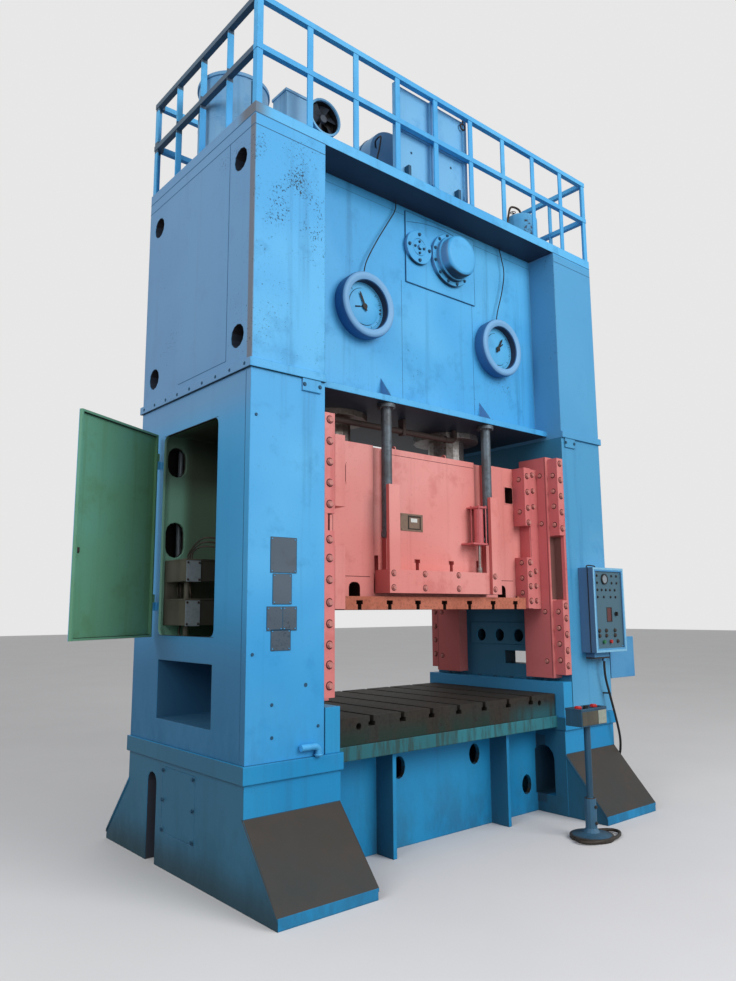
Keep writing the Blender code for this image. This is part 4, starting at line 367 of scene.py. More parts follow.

# Ram and guides, with painted shade in the windows and arches of the ram, and at the right a liner that is
# brown with dirt, grease and painted shade beside a bare tan strip
ramHoles = ((0.938, 1.052, 0.28, 0.5035, 2.738, 2.892), (0.798, 0.912, 0.34, 0.5035, 1.87, 1.987))
salmonPaint = wornPaint("salmonPaint", paint=(0.66, 0.225, 0.205), faded=(0.70, 0.285, 0.265),
                        deep=(0.48, 0.110, 0.100), runs=(0.44, 0.10, 0.09), rust=(0.20, 0.07, 0.045),
                        chips=0.25, streaks=0.30, grimeTop=0.0, round=0.006, shift=60.0,
                        side=(0.46, 0.090, 0.090),
                        areas=[inside(span, (0.020, 0.009, 0.009), 0.97, 0.001, None, True)
                               for span in ramHoles])
redPaint = wornPaint("redPaint", paint=(0.55, 0.15, 0.15), faded=(0.60, 0.20, 0.19),
                     deep=(0.34, 0.050, 0.054), runs=(0.30, 0.05, 0.05), chips=0.35, streaks=0.35,
                     grimeTop=0.0, round=0.004, shift=72.0, side=(0.56, 0.135, 0.150), areas=(
    inside((1.293, 1.40, -0.80, -0.72, 1.86, 2.43), (0.085, 0.050, 0.042), 0.88),
    inside((1.268, 1.285, -0.80, -0.735, 1.86, 2.43), (0.36, 0.20, 0.13), 0.7)))
paleRed = wornPaint("paleRed", paint=(0.60, 0.185, 0.180), faded=(0.66, 0.25, 0.24),
                    deep=(0.42, 0.085, 0.08), runs=(0.34, 0.06, 0.055), chips=0.45, streaks=0.40,
                    grimeTop=0.0, round=0.004, shift=77.0, side=(0.50, 0.095, 0.10))

# Cabinet door, green inside and blue outside, and the grey valves
doorOut = (-0.5, math.sqrt(0.75), 0.0)
doorLevel = max(Vector(doorOut).dot(vertex.co) for vertex in nodes["cabinet_door"].data.vertices
                if vertex.co.x < -2.15)
greenPaint = wornPaint("greenPaint", paint=(0.105, 0.270, 0.160), faded=(0.115, 0.310, 0.230),
                       deep=(0.085, 0.190, 0.080), runs=(0.08, 0.18, 0.07), rust=(0.10, 0.055, 0.03),
                       chips=0.08, streaks=0.45, grimeTop=1.9, grimeDepth=0.25, round=0.003, shift=83.0,
                       areas=((lambda n: n.past(doorOut, doorLevel - 0.003), (0.075, 0.33, 0.58), 1.0),))
greyPaint = wornPaint("greyPaint", paint=(0.085, 0.078, 0.058), faded=(0.11, 0.10, 0.078),
                      deep=(0.045, 0.040, 0.030), runs=(0.03, 0.028, 0.02), chips=0.4, grimeTop=2.6,
                      grimeDepth=0.4, round=0.004, shift=91.0,
                      areas=(inside((-1.838, -1.70, 0.0, 0.085, 1.6, 2.2), (0.028, 0.024, 0.020), 0.8),))


# Bare steel: broad rust patches, fine dark spots, runs of stain and bright worn edges
def rustySteel(name, steel, rust, dark, stain=None, stainAmount=0.0, rough=0.72, metal=0.35, round=0.006,
               shift=0.0, areas=()):
    n = Nodes(name)
    broad = n.noise(2.2, 4.0, 0.65, shift=shift)
    fine = n.noise(38.0, 5.0, 0.7, shift=shift + 4.0)
    runs = n.noise(9.0, 4.0, 0.65, stretch=(1.0, 1.0, 0.08), shift=shift + 7.0)
    color = n.blend(n.spread(broad, 0.38, 0.62), steel, rust)
    color = n.over(color, n.spread(fine, 0.45, 0.70), 0.6, dark)
    if stain:
        color = n.over(color, n.spread(runs, 0.50, 0.68), stainAmount, stain)
    for area, shade, depth in areas:
        color = n.over(color, area(n), depth, shade)
    normal, edge = n.edges(round)
    bright = n.times(n.spread(edge, 0.02, 0.3), n.spread(fine, 0.40, 0.55))
    color = n.over(color, bright, 0.35, steel)
    return n.finish(color, n.sums("ADD", rough - 0.12, n.times(fine, 0.24)), fine, 0.0012, normal, metal)


def plateInside(n):
    # everything of the ram's plate but its outer edges: the underside and the insides of the T-slots, which
    # take painted shade
    front = n.spread(n.size(n.facing(1)), 0.4, 0.6)
    end = n.spread(n.size(n.along(0)), 1.04, 1.048)
    return n.minus(1.0, n.sums("MAXIMUM", front, end))


def bolsterStain(n):
    # green runs that start at mid-height of the bolster's front edge and grow downwards
    runs = n.noise(7.0, 4.0, 0.65, stretch=(1.0, 1.0, 0.10), shift=15.0)
    front = n.zone((-1.3, 1.3, -0.76, -0.746, 0.8, 1.04))
    return n.times(n.times(front, n.spread(n.along(2), 1.00, 0.86)), n.spread(runs, 0.34, 0.58))


def bolsterBlue(n):
    # the runs turn bluer towards the right
    return n.times(bolsterStain(n), n.spread(n.along(0), 0.3, 1.1))


bolsterSteel = rustySteel("bolsterSteel", (0.026, 0.027, 0.024), (0.030, 0.024, 0.019),
                          (0.012, 0.011, 0.010), (0.014, 0.010, 0.009), 0.6, metal=0.1, shift=5.0, areas=(
    (bolsterStain, (0.010, 0.030, 0.024), 0.85), (bolsterBlue, (0.022, 0.110, 0.140), 0.75)))
slotSteel = rustySteel("slotSteel", (0.48, 0.155, 0.10), (0.38, 0.11, 0.065), (0.14, 0.050, 0.032),
                       metal=0.05, shift=12.0, areas=((plateInside, (0.022, 0.013, 0.011), 0.95),))
rodSteel = rustySteel("rodSteel", (0.115, 0.150, 0.180), (0.085, 0.095, 0.105), (0.045, 0.045, 0.048),
                      metal=0.45, rough=0.5, shift=21.0)
brightSteel = rustySteel("brightSteel", (0.30, 0.30, 0.30), (0.20, 0.165, 0.14), (0.08, 0.06, 0.05),
                         metal=0.8, rough=0.42, shift=33.0)
darkSteel = rustySteel("darkSteel", (0.050, 0.046, 0.044), (0.055, 0.036, 0.026), (0.018, 0.016, 0.015),
                       metal=0.4, rough=0.6, shift=37.0)


# Plain finish: one color with a fine speck
def plainFinish(name, color, rough, metal=0.0, coat=0.0, grain=40.0, depth=0.0004):
    n = Nodes(name)
    speck = n.noise(grain, 3.0, 0.6)
    tone = n.over(color, n.spread(speck, 0.40, 0.70), 0.35, tuple(0.6 * part for part in color))
    return n.finish(tone, n.sums("ADD", rough - 0.05, n.times(speck, 0.1)), speck, depth, None, metal, coat)


blackRubber = plainFinish("blackRubber", (0.016, 0.016, 0.017), 0.6)
blackPlastic = plainFinish("blackPlastic", (0.014, 0.014, 0.015), 0.35, coat=0.2)
blackIron = plainFinish("blackIron", (0.020, 0.019, 0.019), 0.5, metal=0.3)
redPlastic = plainFinish("redPlastic", (0.40, 0.020, 0.018), 0.3, coat=0.3)
greenPlastic = plainFinish("greenPlastic", (0.020, 0.16, 0.060), 0.3, coat=0.3)
darkBlue = plainFinish("darkBlue", (0.018, 0.075, 0.14), 0.6)
paleBlue = plainFinish("paleBlue", (0.20, 0.46, 0.66), 0.5)
seamBlue = plainFinish("seamBlue", (0.026, 0.11, 0.22), 0.6)
sleeveShade = plainFinish("sleeveShade", (0.022, 0.030, 0.060), 0.6)
gaugeTan = plainFinish("gaugeTan", (0.20, 0.135, 0.10), 0.55)
pipeBrown = plainFinish("pipeBrown", (0.075, 0.055, 0.050), 0.6)
cylinderRed = plainFinish("cylinderRed", (0.52, 0.12, 0.13), 0.35, coat=0.2)
darkRed = plainFinish("darkRed", (0.09, 0.018, 0.018), 0.65)
boltRed = plainFinish("boltRed", (0.50, 0.20, 0.18), 0.5, grain=90.0)
paleLabel = plainFinish("paleLabel", (0.62, 0.64, 0.62), 0.5)
duskGlass = plainFinish("duskGlass", (0.09, 0.016, 0.018), 0.25, coat=0.4)
capMetal = plainFinish("capMetal", (0.24, 0.29, 0.33), 0.45, metal=0.2)
fanMetal = plainFinish("fanMetal", (0.045, 0.055, 0.070), 0.5, metal=0.2)
railPale = plainFinish("railPale", (0.16, 0.42, 0.66), 0.5)


def dress(material, *names):
    for name in names:
        nodes[name].data.materials.clear()
        nodes[name].data.materials.append(material)


corners = [end + "_" + side for end in ("front", "rear") for side in ("left", "right")]
dress(bluePaint, "key_block_left", "key_block_right")
dress(rightPaint, "upright_right")
dress(leftPaint, "upright_left")
dress(crownPaint, "crown")
dress(bedPaint, "bed", "bed_access_panel")
dress(deckPaint, "deck")
dress(panelPaint, "guard_panel")
dress(tankPaint, "oil_tank", "air_receiver", "header_tank", "fan_motor", "terminal_box")
dress(boxPaint, "control_box", "control_door", "junction_box")
dress(standPaint, "two_hand_stand")
dress(dialPaint, "dial_left", "dial_right")
dress(railPaint, "guardrail")
dress(smallPaint, "dome_cover", "port_plate")
dress(salmonPaint, "ram", "apron", "air_cylinder")
# redPaint is a deeper, darker red than paleRed: on the front right gib and guide bar it is painted shade from
# the control box
dress(redPaint, *[stem + corner for stem in ("gib_", "guide_bar_", "slide_shoe_") for corner in corners])
dress(salmonPaint, "slide_shoe_front_left", "slide_shoe_rear_right")
dress(paleRed, "gib_front_left", "gib_rear_right", "guide_bar_front_left", "guide_bar_rear_right")
dress(bolsterSteel, "bolster")
dress(slotSteel, "ram_plate")
dress(rodSteel, "stop_rod_left", "stop_rod_right")
dress(brightSteel, "plunger_left", "plunger_right", "air_cylinder_rod", "cylinder_barrel_left",
      "cylinder_barrel_right")
dress(darkSteel, "door_latch")
dress(greenPaint, "cabinet_door")
dress(greyPaint, "valve_stack")
dress(blackIron, "dial_pointer_left", "dial_pointer_right")
dress(blackPlastic, "mode_selector")
dress(redPlastic, "stop_button", "palm_button_left", "palm_button_right")
dress(greenPlastic, "start_button")
print("materials done")


# Surfaces: each part is a pair of points and faces, and a piece is made of several parts

def gridFaces(rows, columns, closeRows=False, closeColumns=False):
    # quads between neighbouring rows and columns of points
    row = np.arange(rows if closeRows else rows - 1)
    column = np.arange(columns if closeColumns else columns - 1)
    a, b = np.meshgrid(row, column, indexing="ij")
    nextA, nextB = (a + 1) % rows, (b + 1) % columns
    quads = np.stack([a * columns + b, a * columns + nextB,
                      nextA * columns + nextB, nextA * columns + b], -1)
    return quads.reshape(-1, 4)


def makePiece(name, parts, material, body="frame", replaces=(), sharp=35.0):
    # equal points of a part are joined, so that the rows on an axis become poles
    points, faces, start = [], [], 0
    for place, quads in parts:
        place, back = np.unique(np.round(np.asarray(place, float).reshape(-1, 3), 7), axis=0,
                                return_inverse=True)
        rows = [list(dict.fromkeys(face)) for face in (back.ravel()[quads] + start).tolist()]
        faces += [face for face in rows if len(face) > 2]
        points.append(place)
        start += len(place)
    data = bpy.data.meshes.new(name)
    data.from_pydata(np.vstack(points).tolist(), [], faces)
    mesh = bmesh.new()
    mesh.from_mesh(data)
    bmesh.ops.recalc_face_normals(mesh, faces=mesh.faces)
    mesh.to_mesh(data)
    mesh.free()
    piece = bpy.data.objects.new(name, data)
    bpy.context.scene.collection.objects.link(piece)
    data.materials.append(material)
    data.shade_smooth()
    data.set_sharp_from_angle(angle=math.radians(sharp))
    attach(piece, body)
    if replaces:
        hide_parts(*replaces)


def axesFor(axis):
    # rows: the two directions across an axis, then the axis itself
    return np.roll(np.eye(3), -(axis + 1), axis=0)


def towards(normal):
    # rows: two directions across a normal, then the normal itself
    third = np.array(normal, float) / np.linalg.norm(normal)
    first = np.cross((0.0, 0.0, 1.0) if abs(third[2]) < 0.9 else (1.0, 0.0, 0.0), third)
    first /= np.linalg.norm(first)
    return np.array([first, np.cross(third, first), third])


def turned(profile, centre, axis, steps=64):
    # each (radius, height) of the profile is turned about the axis through centre
    radius, height = np.array(profile, float).T
    angle = np.linspace(0.0, 2.0 * np.pi, steps, endpoint=False)
    local = np.stack([radius[:, None] * np.cos(angle), radius[:, None] * np.sin(angle),
                      np.repeat(height[:, None], steps, 1)], -1)
    closed = radius[0] > 0.0 and radius[-1] > 0.0
    return local @ axesFor(axis) + np.array(centre), gridFaces(len(radius), steps, closed, True)


def boxes(*spans):
    # each span is x from, x to, y from, y to, z from, z to
    low = np.array(spans, float)[:, 0::2]
    high = np.array(spans, float)[:, 1::2]
    unit = np.array([(x, y, z) for x in (0, 1) for y in (0, 1) for z in (0, 1)], float)
    points = low[:, None] + unit * (high - low)[:, None]
    quads = np.array([(0, 1, 3, 2), (4, 6, 7, 5), (0, 4, 5, 1), (2, 3, 7, 6), (0, 2, 6, 4), (1, 5, 7, 3)])
    return points, (quads + 8 * np.arange(len(low))[:, None, None]).reshape(-1, 4)


def bolts(places, normal, radius, height, washer=1.3):
    # r(a) = R cos 30 / cos(a mod 60 - 30) from the washer up to the top of the head
    angle = np.linspace(0.0, 2.0 * np.pi, 12, endpoint=False)
    hexagon = radius * math.cos(math.pi / 6.0) / np.cos(angle % (math.pi / 3.0) - math.pi / 6.0)
    ring = np.full(12, washer * radius)
    rows = [(0.0 * ring, 0.0), (ring, 0.0), (ring, 0.18 * height), (hexagon, 0.18 * height),
            (0.97 * hexagon, height), (0.0 * ring, height)]
    local = np.stack([np.stack([r * np.cos(angle), r * np.sin(angle), np.full(12, h)], -1) for r, h in rows])
    places = np.array(places, float).reshape(-1, 3)
    points = places[:, None, None] + local @ towards(normal)
    quads = gridFaces(len(rows), 12, False, True)
    return points, (quads + 12 * len(rows) * np.arange(len(places))[:, None, None]).reshape(-1, 4)


def tube(path, radius, steps=14, samples=6):
    # circle carried along a smooth path; its first direction is turned on from point to point
    route = smoothPath(path, samples) if samples else np.array(path, float)
    along = np.gradient(route, axis=0)
    along /= np.linalg.norm(along, axis=1)[:, None]
    first = [towards(along[0])[0]]
    for direction in along[1:]:
        flat = first[-1] - np.dot(first[-1], direction) * direction
        first.append(flat / np.linalg.norm(flat))
    first = np.array(first)
    second = np.cross(along, first)
    angle = np.linspace(0.0, 2.0 * np.pi, steps, endpoint=False)
    size = np.full(len(route), radius)
    route = np.vstack([route[:1], route, route[-1:]])
    first, second = (np.vstack([part[:1], part, part[-1:]]) for part in (first, second))
    size = np.concatenate([[0.0], size, [0.0]])[:, None, None]
    circle = np.cos(angle)[None, :, None] * first[:, None] + np.sin(angle)[None, :, None] * second[:, None]
    return route[:, None] + size * circle, gridFaces(len(route), steps, False, True)


def ringPart(centre, axis, radius, wire, steps=40):
    # torus: a circle of the wire's size turned about the axis
    angle = np.linspace(0.0, 2.0 * np.pi, 10, endpoint=False)
    profile = np.stack([radius + wire * np.cos(angle), wire * np.sin(angle)], -1)
    points, _ = turned(profile, centre, axis, steps)
    return points, gridFaces(10, steps, True, True)


def spotsOn(radius, count, centre, axis, level, start=0.0):
    # places of bolts on a pitch circle
    angle = math.radians(start) + np.arange(count) * 2.0 * np.pi / count
    local = np.stack([radius * np.cos(angle), radius * np.sin(angle), np.full(count, level)], -1)
    return local @ axesFor(axis) + np.array(centre)


def smoothPath(points, samples):
    # each stretch is a cubic through its two ends, with slopes from their neighbours
    p = np.array(points, float)
    ends = np.vstack([2.0 * p[0] - p[1], p, 2.0 * p[-1] - p[-2]])
    a, b, c, d = ends[:-3, None], ends[1:-2, None], ends[2:-1, None], ends[3:, None]
    t = (np.arange(samples) / samples)[None, :, None]
    curve = 0.5 * (2.0 * b + (c - a) * t + (2.0 * a - 5.0 * b + 4.0 * c - d) * t ** 2
                   + (3.0 * b - a - 3.0 * c + d) * t ** 3)
    return np.vstack([curve.reshape(-1, 3), p[-1]])


sides = {"left": -1, "right": 1}

# Uprights and crown: half width, half depth, and how far out the front pillars start
half = {"width": 2.0, "depth": 0.836, "pillar": 1.39}

# Dials: deep ring, raised inner disc, fine marks
dial = {"x": 0.81, "z": 4.17, "wall": -0.5403, "face": -0.580, "front": -0.660, "disc": 0.150, "marks": 50,
        "hands": {"left": 192.0, "right": 40.0},
        "dots": {"left": ((0.172, 0.012), (0.172, -0.016)), "right": ((-0.125, -0.118),)}}


def makeDials(d):
    shape = [(0.0, d["wall"]), (0.262, d["wall"]), (0.267, -0.575), (0.270, -0.630), (0.267, -0.644),
             (0.260, -0.654), (0.248, d["front"]), (0.236, d["front"]), (0.216, -0.655), (0.204, -0.649),
             (0.200, -0.640), (0.200, -0.5835), (0.196, d["face"]), (d["disc"] + 0.003, d["face"]),
             (d["disc"], -0.5835), (d["disc"] - 0.004, -0.585), (0.012, -0.585), (0.010, -0.594),
             (0.0, -0.594)]
    turns = np.radians(np.linspace(-225.0, 45.0, d["marks"] + 1))
    sleeve = [(0.1997, -0.5838), (0.1997, -0.6395), (0.1990, -0.6395), (0.1990, -0.5838)]
    arc = np.radians(np.linspace(100.0, 300.0, 25))
    for name, side in sides.items():
        centre = (side * d["x"], 0.0, d["z"])
        makePiece("dialRing" + name.title(), [turned(shape, centre, 1, 96)], dialPaint,
                  replaces=("dial_" + name,))
        lines = []
        for index, turn in enumerate(turns):
            inner = 0.164 if index % 5 == 0 else 0.174
            across = np.array((math.cos(turn), 0.0, math.sin(turn)))
            start, end = (np.array(centre) + across * r + np.array((0.0, d["face"] - 0.0006, 0.0))
                          for r in (inner, 0.186))
            lines.append(tube([start, end], 0.0011 if index % 5 else 0.0018, 6, 0))
        dots = [turned([(0.0, d["face"] - 0.004), (0.008, d["face"] - 0.004), (0.008, d["face"]),
                        (0.0, d["face"])],
                       (side * d["x"] + dx, 0.0, d["z"] + dz), 1, 16) for dx, dz in d["dots"][name]]
        makePiece("dialMarks" + name.title(), lines + dots, blackIron)
        # a dark sleeve over the ring's inner wall: painted shade
        makePiece("dialShadeSleeve" + name.title(), [turned(sleeve, centre, 1, 96)], sleeveShade)
        # a dark arc on the face at the left: painted shadow of the raised disc's edge, in one piece with the
        # hands
        discShadow = np.stack([side * d["x"] + 0.1515 * np.cos(arc), np.full(25, d["face"] - 0.001),
                        d["z"] + 0.1515 * np.sin(arc)], -1)
        hand = np.radians(d["hands"][name])
        reach = np.array((math.cos(hand), 0.0, math.sin(hand)))
        base = np.array((side * d["x"], -0.588, d["z"]))
        hands = [tube([base + 0.012 * reach, base + 0.055 * reach], 0.0035, 8, 0),
                 tube([base + 0.050 * reach, base + 0.095 * reach], 0.0060, 8, 0)]
        makePiece("dialShadowAndHands" + name.title(), [tube(discShadow, 0.0028, 8, 0)] + hands, blackIron)


makeDials(dial)

# Domed cover, port plate and the seams of the crown's front
cover = {"dome": (0.222, 0.0, 4.873), "port": (-0.178, 0.0, 4.873), "seat": -0.5523}


def makeCovers(c):
    seat = c["seat"]
    angle = np.radians(np.linspace(0.0, 90.0, 9))
    crest = list(zip(0.147 + 0.038 * np.cos(angle), seat - 0.132 - 0.038 * np.sin(angle)))
    shape = [(0.0, seat), (0.240, seat), (0.240, seat - 0.031), (0.236, seat - 0.035), (0.204, seat - 0.035),
             (0.200, seat - 0.039), (0.200, seat - 0.071), (0.196, seat - 0.075), (0.189, seat - 0.075),
             (0.185, seat - 0.079)] + crest + [(0.0, seat - 0.170)]
    makePiece("domeShell", [turned(shape, c["dome"], 1, 96)], crownPaint,
              replaces=("dome_cover",))
    shape = [(0.0, seat), (0.150, seat), (0.150, seat - 0.026), (0.146, seat - 0.030), (0.080, seat - 0.030),
             (0.078, seat - 0.027), (0.074, seat - 0.027), (0.072, seat - 0.030), (0.024, seat - 0.030),
             (0.022, seat - 0.034), (0.020, seat - 0.050), (0.0, seat - 0.050)]
    makePiece("portDisc", [turned(shape, c["port"], 1, 80)], crownPaint,
              replaces=("port_plate",))
    heads = [bolts(spotsOn(0.220, 12, c["dome"], 1, seat - 0.035, 15.0), (0, -1, 0), 0.012, 0.012),
             bolts(spotsOn(0.118, 4, c["port"], 1, seat - 0.030), (0, -1, 0), 0.013, 0.014),
             bolts(spotsOn(0.052, 4, c["port"], 1, seat - 0.030), (0, -1, 0), 0.010, 0.012)]
    makePiece("coverBolts", heads, darkBlue)
    lines = boxes((-0.3615, -0.3585, -0.5408, -0.5398, 3.46, 4.54),
                  (0.5185, 0.5215, -0.5408, -0.5398, 3.46, 4.54),
                  (-0.313, -0.3095, -0.5525, -0.5395, 4.54, 5.18),
                  (0.5495, 0.553, -0.5525, -0.5395, 4.54, 5.18),
                  (-0.313, 0.553, -0.5525, -0.5395, 4.5365, 4.5400),
                  (-0.313, 0.553, -0.5525, -0.5395, 5.180, 5.1835),
                  (-1.39, 1.39, -0.5408, -0.5398, 5.141, 5.144))
    arc = tube([(-0.30, -0.5525, 5.085), (-0.10, -0.5525, 5.130), (0.12, -0.5525, 5.150),
                (0.34, -0.5525, 5.130), (0.54, -0.5525, 5.085)], 0.0025, 8)
    makePiece("crownSeams", [lines, arc], seamBlue)


makeCovers(cover)

# Panel lines on the crown's pillars and sides, and the bolts that hold its bands
panel = {"cap": 5.128, "joint": 5.2151, "bottom": 3.487, "edge": -0.50, "rear": 0.22}


def makePanels(p):
    depth = half["depth"]
    lines = []
    for side in (-1, 1):
        x0, x1 = sorted((side * 2.0008, side * 1.9992))
        lines += [(x0, x1, p["edge"] - 0.003, p["edge"] + 0.003, p["bottom"], p["cap"]),
                  (x0, x1, p["edge"], p["rear"], p["bottom"] - 0.003, p["bottom"] + 0.003),
                  (x0, x1, -depth, depth, p["cap"] - 0.003, p["cap"] + 0.003),
                  (x0, x1, -depth, depth, 3.4285, 3.4325)]
        y0, x2, x3 = -0.8368, *sorted((side * half["pillar"], side * half["width"]))
        lines.append((x2, x3, y0, -0.8352, p["cap"] - 0.003, p["cap"] + 0.003))
        lines.append((x2, x3, y0, -0.8352, 3.4285, 3.4325))
        lines.append((x0, x1, -0.78, -0.774, 0.86, 3.36))
        lines.append((x0, x1, -depth, depth, p["joint"] - 0.0035, p["joint"] + 0.0035))
        lines.append((x2, x3, y0, -0.8352, p["joint"] - 0.0035, p["joint"] + 0.0035))
    makePiece("panelLines", [boxes(*lines)], seamBlue)
    bands = [bolts([(side * 2.0183, y, 3.40) for y in np.linspace(-0.78, 0.78, 9)], (side, 0, 0),
                   0.010, 0.0035) for side in (-1, 1)]
    makePiece("bandBolts", bands, darkBlue)


makePanels(panel)
print("crown done")


# Bolts and seams of the guides, with thin dark discs of painted shade under the bolt heads; the heights
# were read off the front right corner
guide = {"gibHigh": (3.11, 2.955, 2.805, 2.655, 2.505), "gibHighSide": (3.0, 2.853, 2.711, 2.54),
         "gibLow": {"left": (2.258, 2.129, 1.98, 1.825, 1.682, 1.54, 1.408, 1.27),
                    "right": (1.80, 1.69, 1.546, 1.404, 1.27)},
         "gibLowSide": {"left": (2.19, 2.05, 1.90, 1.75, 1.604, 1.462, 1.318),
                        "right": (1.75, 1.604, 1.462, 1.318)},
         "bar": (3.01, 2.558, 1.75, 1.307), "shoe": (2.992, 2.844, 2.696, 2.56, 2.195, 2.09, 1.979, 1.847),
         "liner": (3.017, 2.865, 2.717, 2.118, 1.983, 1.848),
         "shoeSide": (2.963, 2.661, 2.193, 2.054, 1.921)}


def makeGuideBolts(g):
    fixed, moving, fixedShades, movingShades = [], [], [], []

    def add(heads, shades, places, normal, radius, height):
        heads.append(bolts(places, normal, radius, height, 1.15))
        # a thin dark disc wider than the head: painted shade around it
        shades.append(bolts(places, normal, radius, 0.003, 1.55))

    for name, side in sides.items():
        for end in (-1, 1):
            heights = g["gibHigh"] + g["gibLow"][name]
            add(fixed, fixedShades, [(side * 1.345, end * half["depth"], z) for z in heights], (0, end, 0),
                0.020, 0.020)
            heights = g["gibHighSide"] + g["gibLowSide"][name]
            add(fixed, fixedShades, [(side * 1.30, end * 0.785, z) for z in heights], (-side, 0, 0), 0.017, 0.018)
            add(fixed, fixedShades, [(side * 1.2703, end * 0.66, z) for z in g["bar"]], (-side, 0, 0),
                0.016, 0.014)
            if side == end:
                # the left front shoe and its mirror image at the rear show no bolts
                continue
            add(moving, movingShades, [(side * 1.098, end * 0.645, z) for z in g["shoe"]], (0, end, 0),
                0.019, 0.020)
            add(moving, movingShades, [(side * 1.205, end * 0.620, z) for z in g["liner"]], (0, end, 0),
                0.017, 0.018)
            add(moving, movingShades, [(side * 1.055, end * 0.582, z) for z in g["shoeSide"]], (-side, 0, 0),
                0.016, 0.014)
    makePiece("guideBolts", fixed, boltRed)
    makePiece("guideBoltShades", fixedShades, darkRed)
    makePiece("shoeBolts", moving, boltRed, "ram")
    makePiece("shoeBoltShades", movingShades, darkRed, "ram")
    bar = boxes((-1.350, -1.342, -0.834, -0.824, 2.3195, 2.458),
                (-1.366, -1.324, -0.834, -0.824, 2.432, 2.4405))
    makePiece("gibGap", [bar], darkRed)
    strips = [(side * 1.2698, side * 1.2703, end * 0.715, end * 0.7195, 1.17, 3.17) for side in (-1, 1)
              for end in (-1, 1)]
    strips += [(side * 1.15, side * 1.154, end * 0.6195, end * 0.6207, 1.80, 3.05) for side in (-1, 1)
               for end in (-1, 1)]
    makePiece("guideSeams", [boxes(*strips[:4])], darkRed)
    makePiece("shoeSeams", [boxes(*strips[4:])], darkRed, "ram")


makeGuideBolts(guide)

# Ram: apron bolts, gauge window, seams and lifting plates
ram = {"front": -0.505, "apron": -0.680, "rows": (2.052, 1.942), "columns": (-0.608, -0.274, 0.112, 0.566)}


def makeRamParts(r):
    spots = [(x, r["apron"], z) for x in r["columns"] for z in r["rows"]]
    makePiece("apronBolts", [bolts(spots, (0, -1, 0), 0.016, 0.016)], boltRed, "ram")
    # a thin dark disc wider than each head: painted shade around it
    makePiece("apronBoltShades", [bolts(spots, (0, -1, 0), 0.016, 0.003, 1.65)], darkRed, "ram")
    near, far = r["front"] - 0.0007, r["front"] + 0.0007
    seams = [(0.70, 1.02, near, far, 2.026, 2.031), (-1.02, -0.70, near, far, 2.026, 2.031),
             (-0.52, 0.52, near, far, 3.018, 3.022)]
    makePiece("ramSeams", [boxes(*seams)], darkRed, "ram")
    plate = boxes((-0.375, -0.124, -0.5095, -0.5052, 2.408, 2.550))
    spots = [(x, -0.5095, z) for x in (-0.362, -0.137) for z in (2.421, 2.537)]
    makePiece("gaugePlate", [plate, bolts(spots, (0, -1, 0), 0.006, 0.004)], gaugeTan, "ram")
    frameBars = boxes((-0.292, -0.150, -0.5135, -0.5095, 2.524, 2.536),
                      (-0.292, -0.150, -0.5135, -0.5095, 2.424, 2.432),
                      (-0.292, -0.282, -0.5135, -0.5095, 2.432, 2.524),
                      (-0.160, -0.150, -0.5135, -0.5095, 2.432, 2.524))
    makePiece("gaugeFrame", [frameBars], darkSteel, "ram")
    makePiece("gaugeDisplay", [boxes((-0.262, -0.190, -0.5118, -0.5093, 2.482, 2.514))], paleLabel,
              "ram")
    rims = []
    for side in (-1, 1):
        for end in (-1, 1):
            low, high = sorted((side * 0.94, side * 1.05))
            near, far = sorted((end * 0.5045, end * 0.5075))
            rims += [(low - 0.010, high + 0.010, near, far, 2.89, 2.899),
                     (low - 0.010, high + 0.010, near, far, 2.731, 2.74),
                     (low - 0.010, low, near, far, 2.74, 2.89), (high, high + 0.010, near, far, 2.74, 2.89)]
    makePiece("windowRims", [boxes(*rims)], salmonPaint, "ram")
    tops = [(x - 0.06, x + 0.06, y - 0.03, y + 0.03, 3.0695, 3.084) for x in (-0.3, 0.3)
            for y in (-0.35, 0.35)]
    eyes = [ringPart((x, y, 3.108), 0, 0.024, 0.007, 24) for x in (-0.3, 0.3) for y in (-0.35, 0.35)]
    makePiece("ramLiftEyes", [boxes(*tops)] + eyes, salmonPaint, "ram")
    foot = [(side * 0.70 + 0.205 * math.cos(a), 0.205 * math.sin(a), 3.1303) for side in (-1, 1)
            for a in np.radians(np.arange(15, 375, 30))]
    makePiece("plungerBolts", [bolts(foot, (0, 0, 1), 0.014, 0.014)], darkSteel, "ram")
    spots = [(side * 1.02, end * 0.55, 1.8753) for side in (-1, 1) for end in (-1, 1)]
    makePiece("plateBolts", [bolts(spots, (0, 0, 1), 0.016, 0.014)], slotSteel, "ram")


makeRamParts(ram)

# Stop rods with their nuts and threads, and the small air cylinder
rod = {"x": 0.5935, "y": -0.594, "radius": 0.042, "bottom": 2.33, "top": 3.3997,
       "cylinder": (0.470, -0.595)}


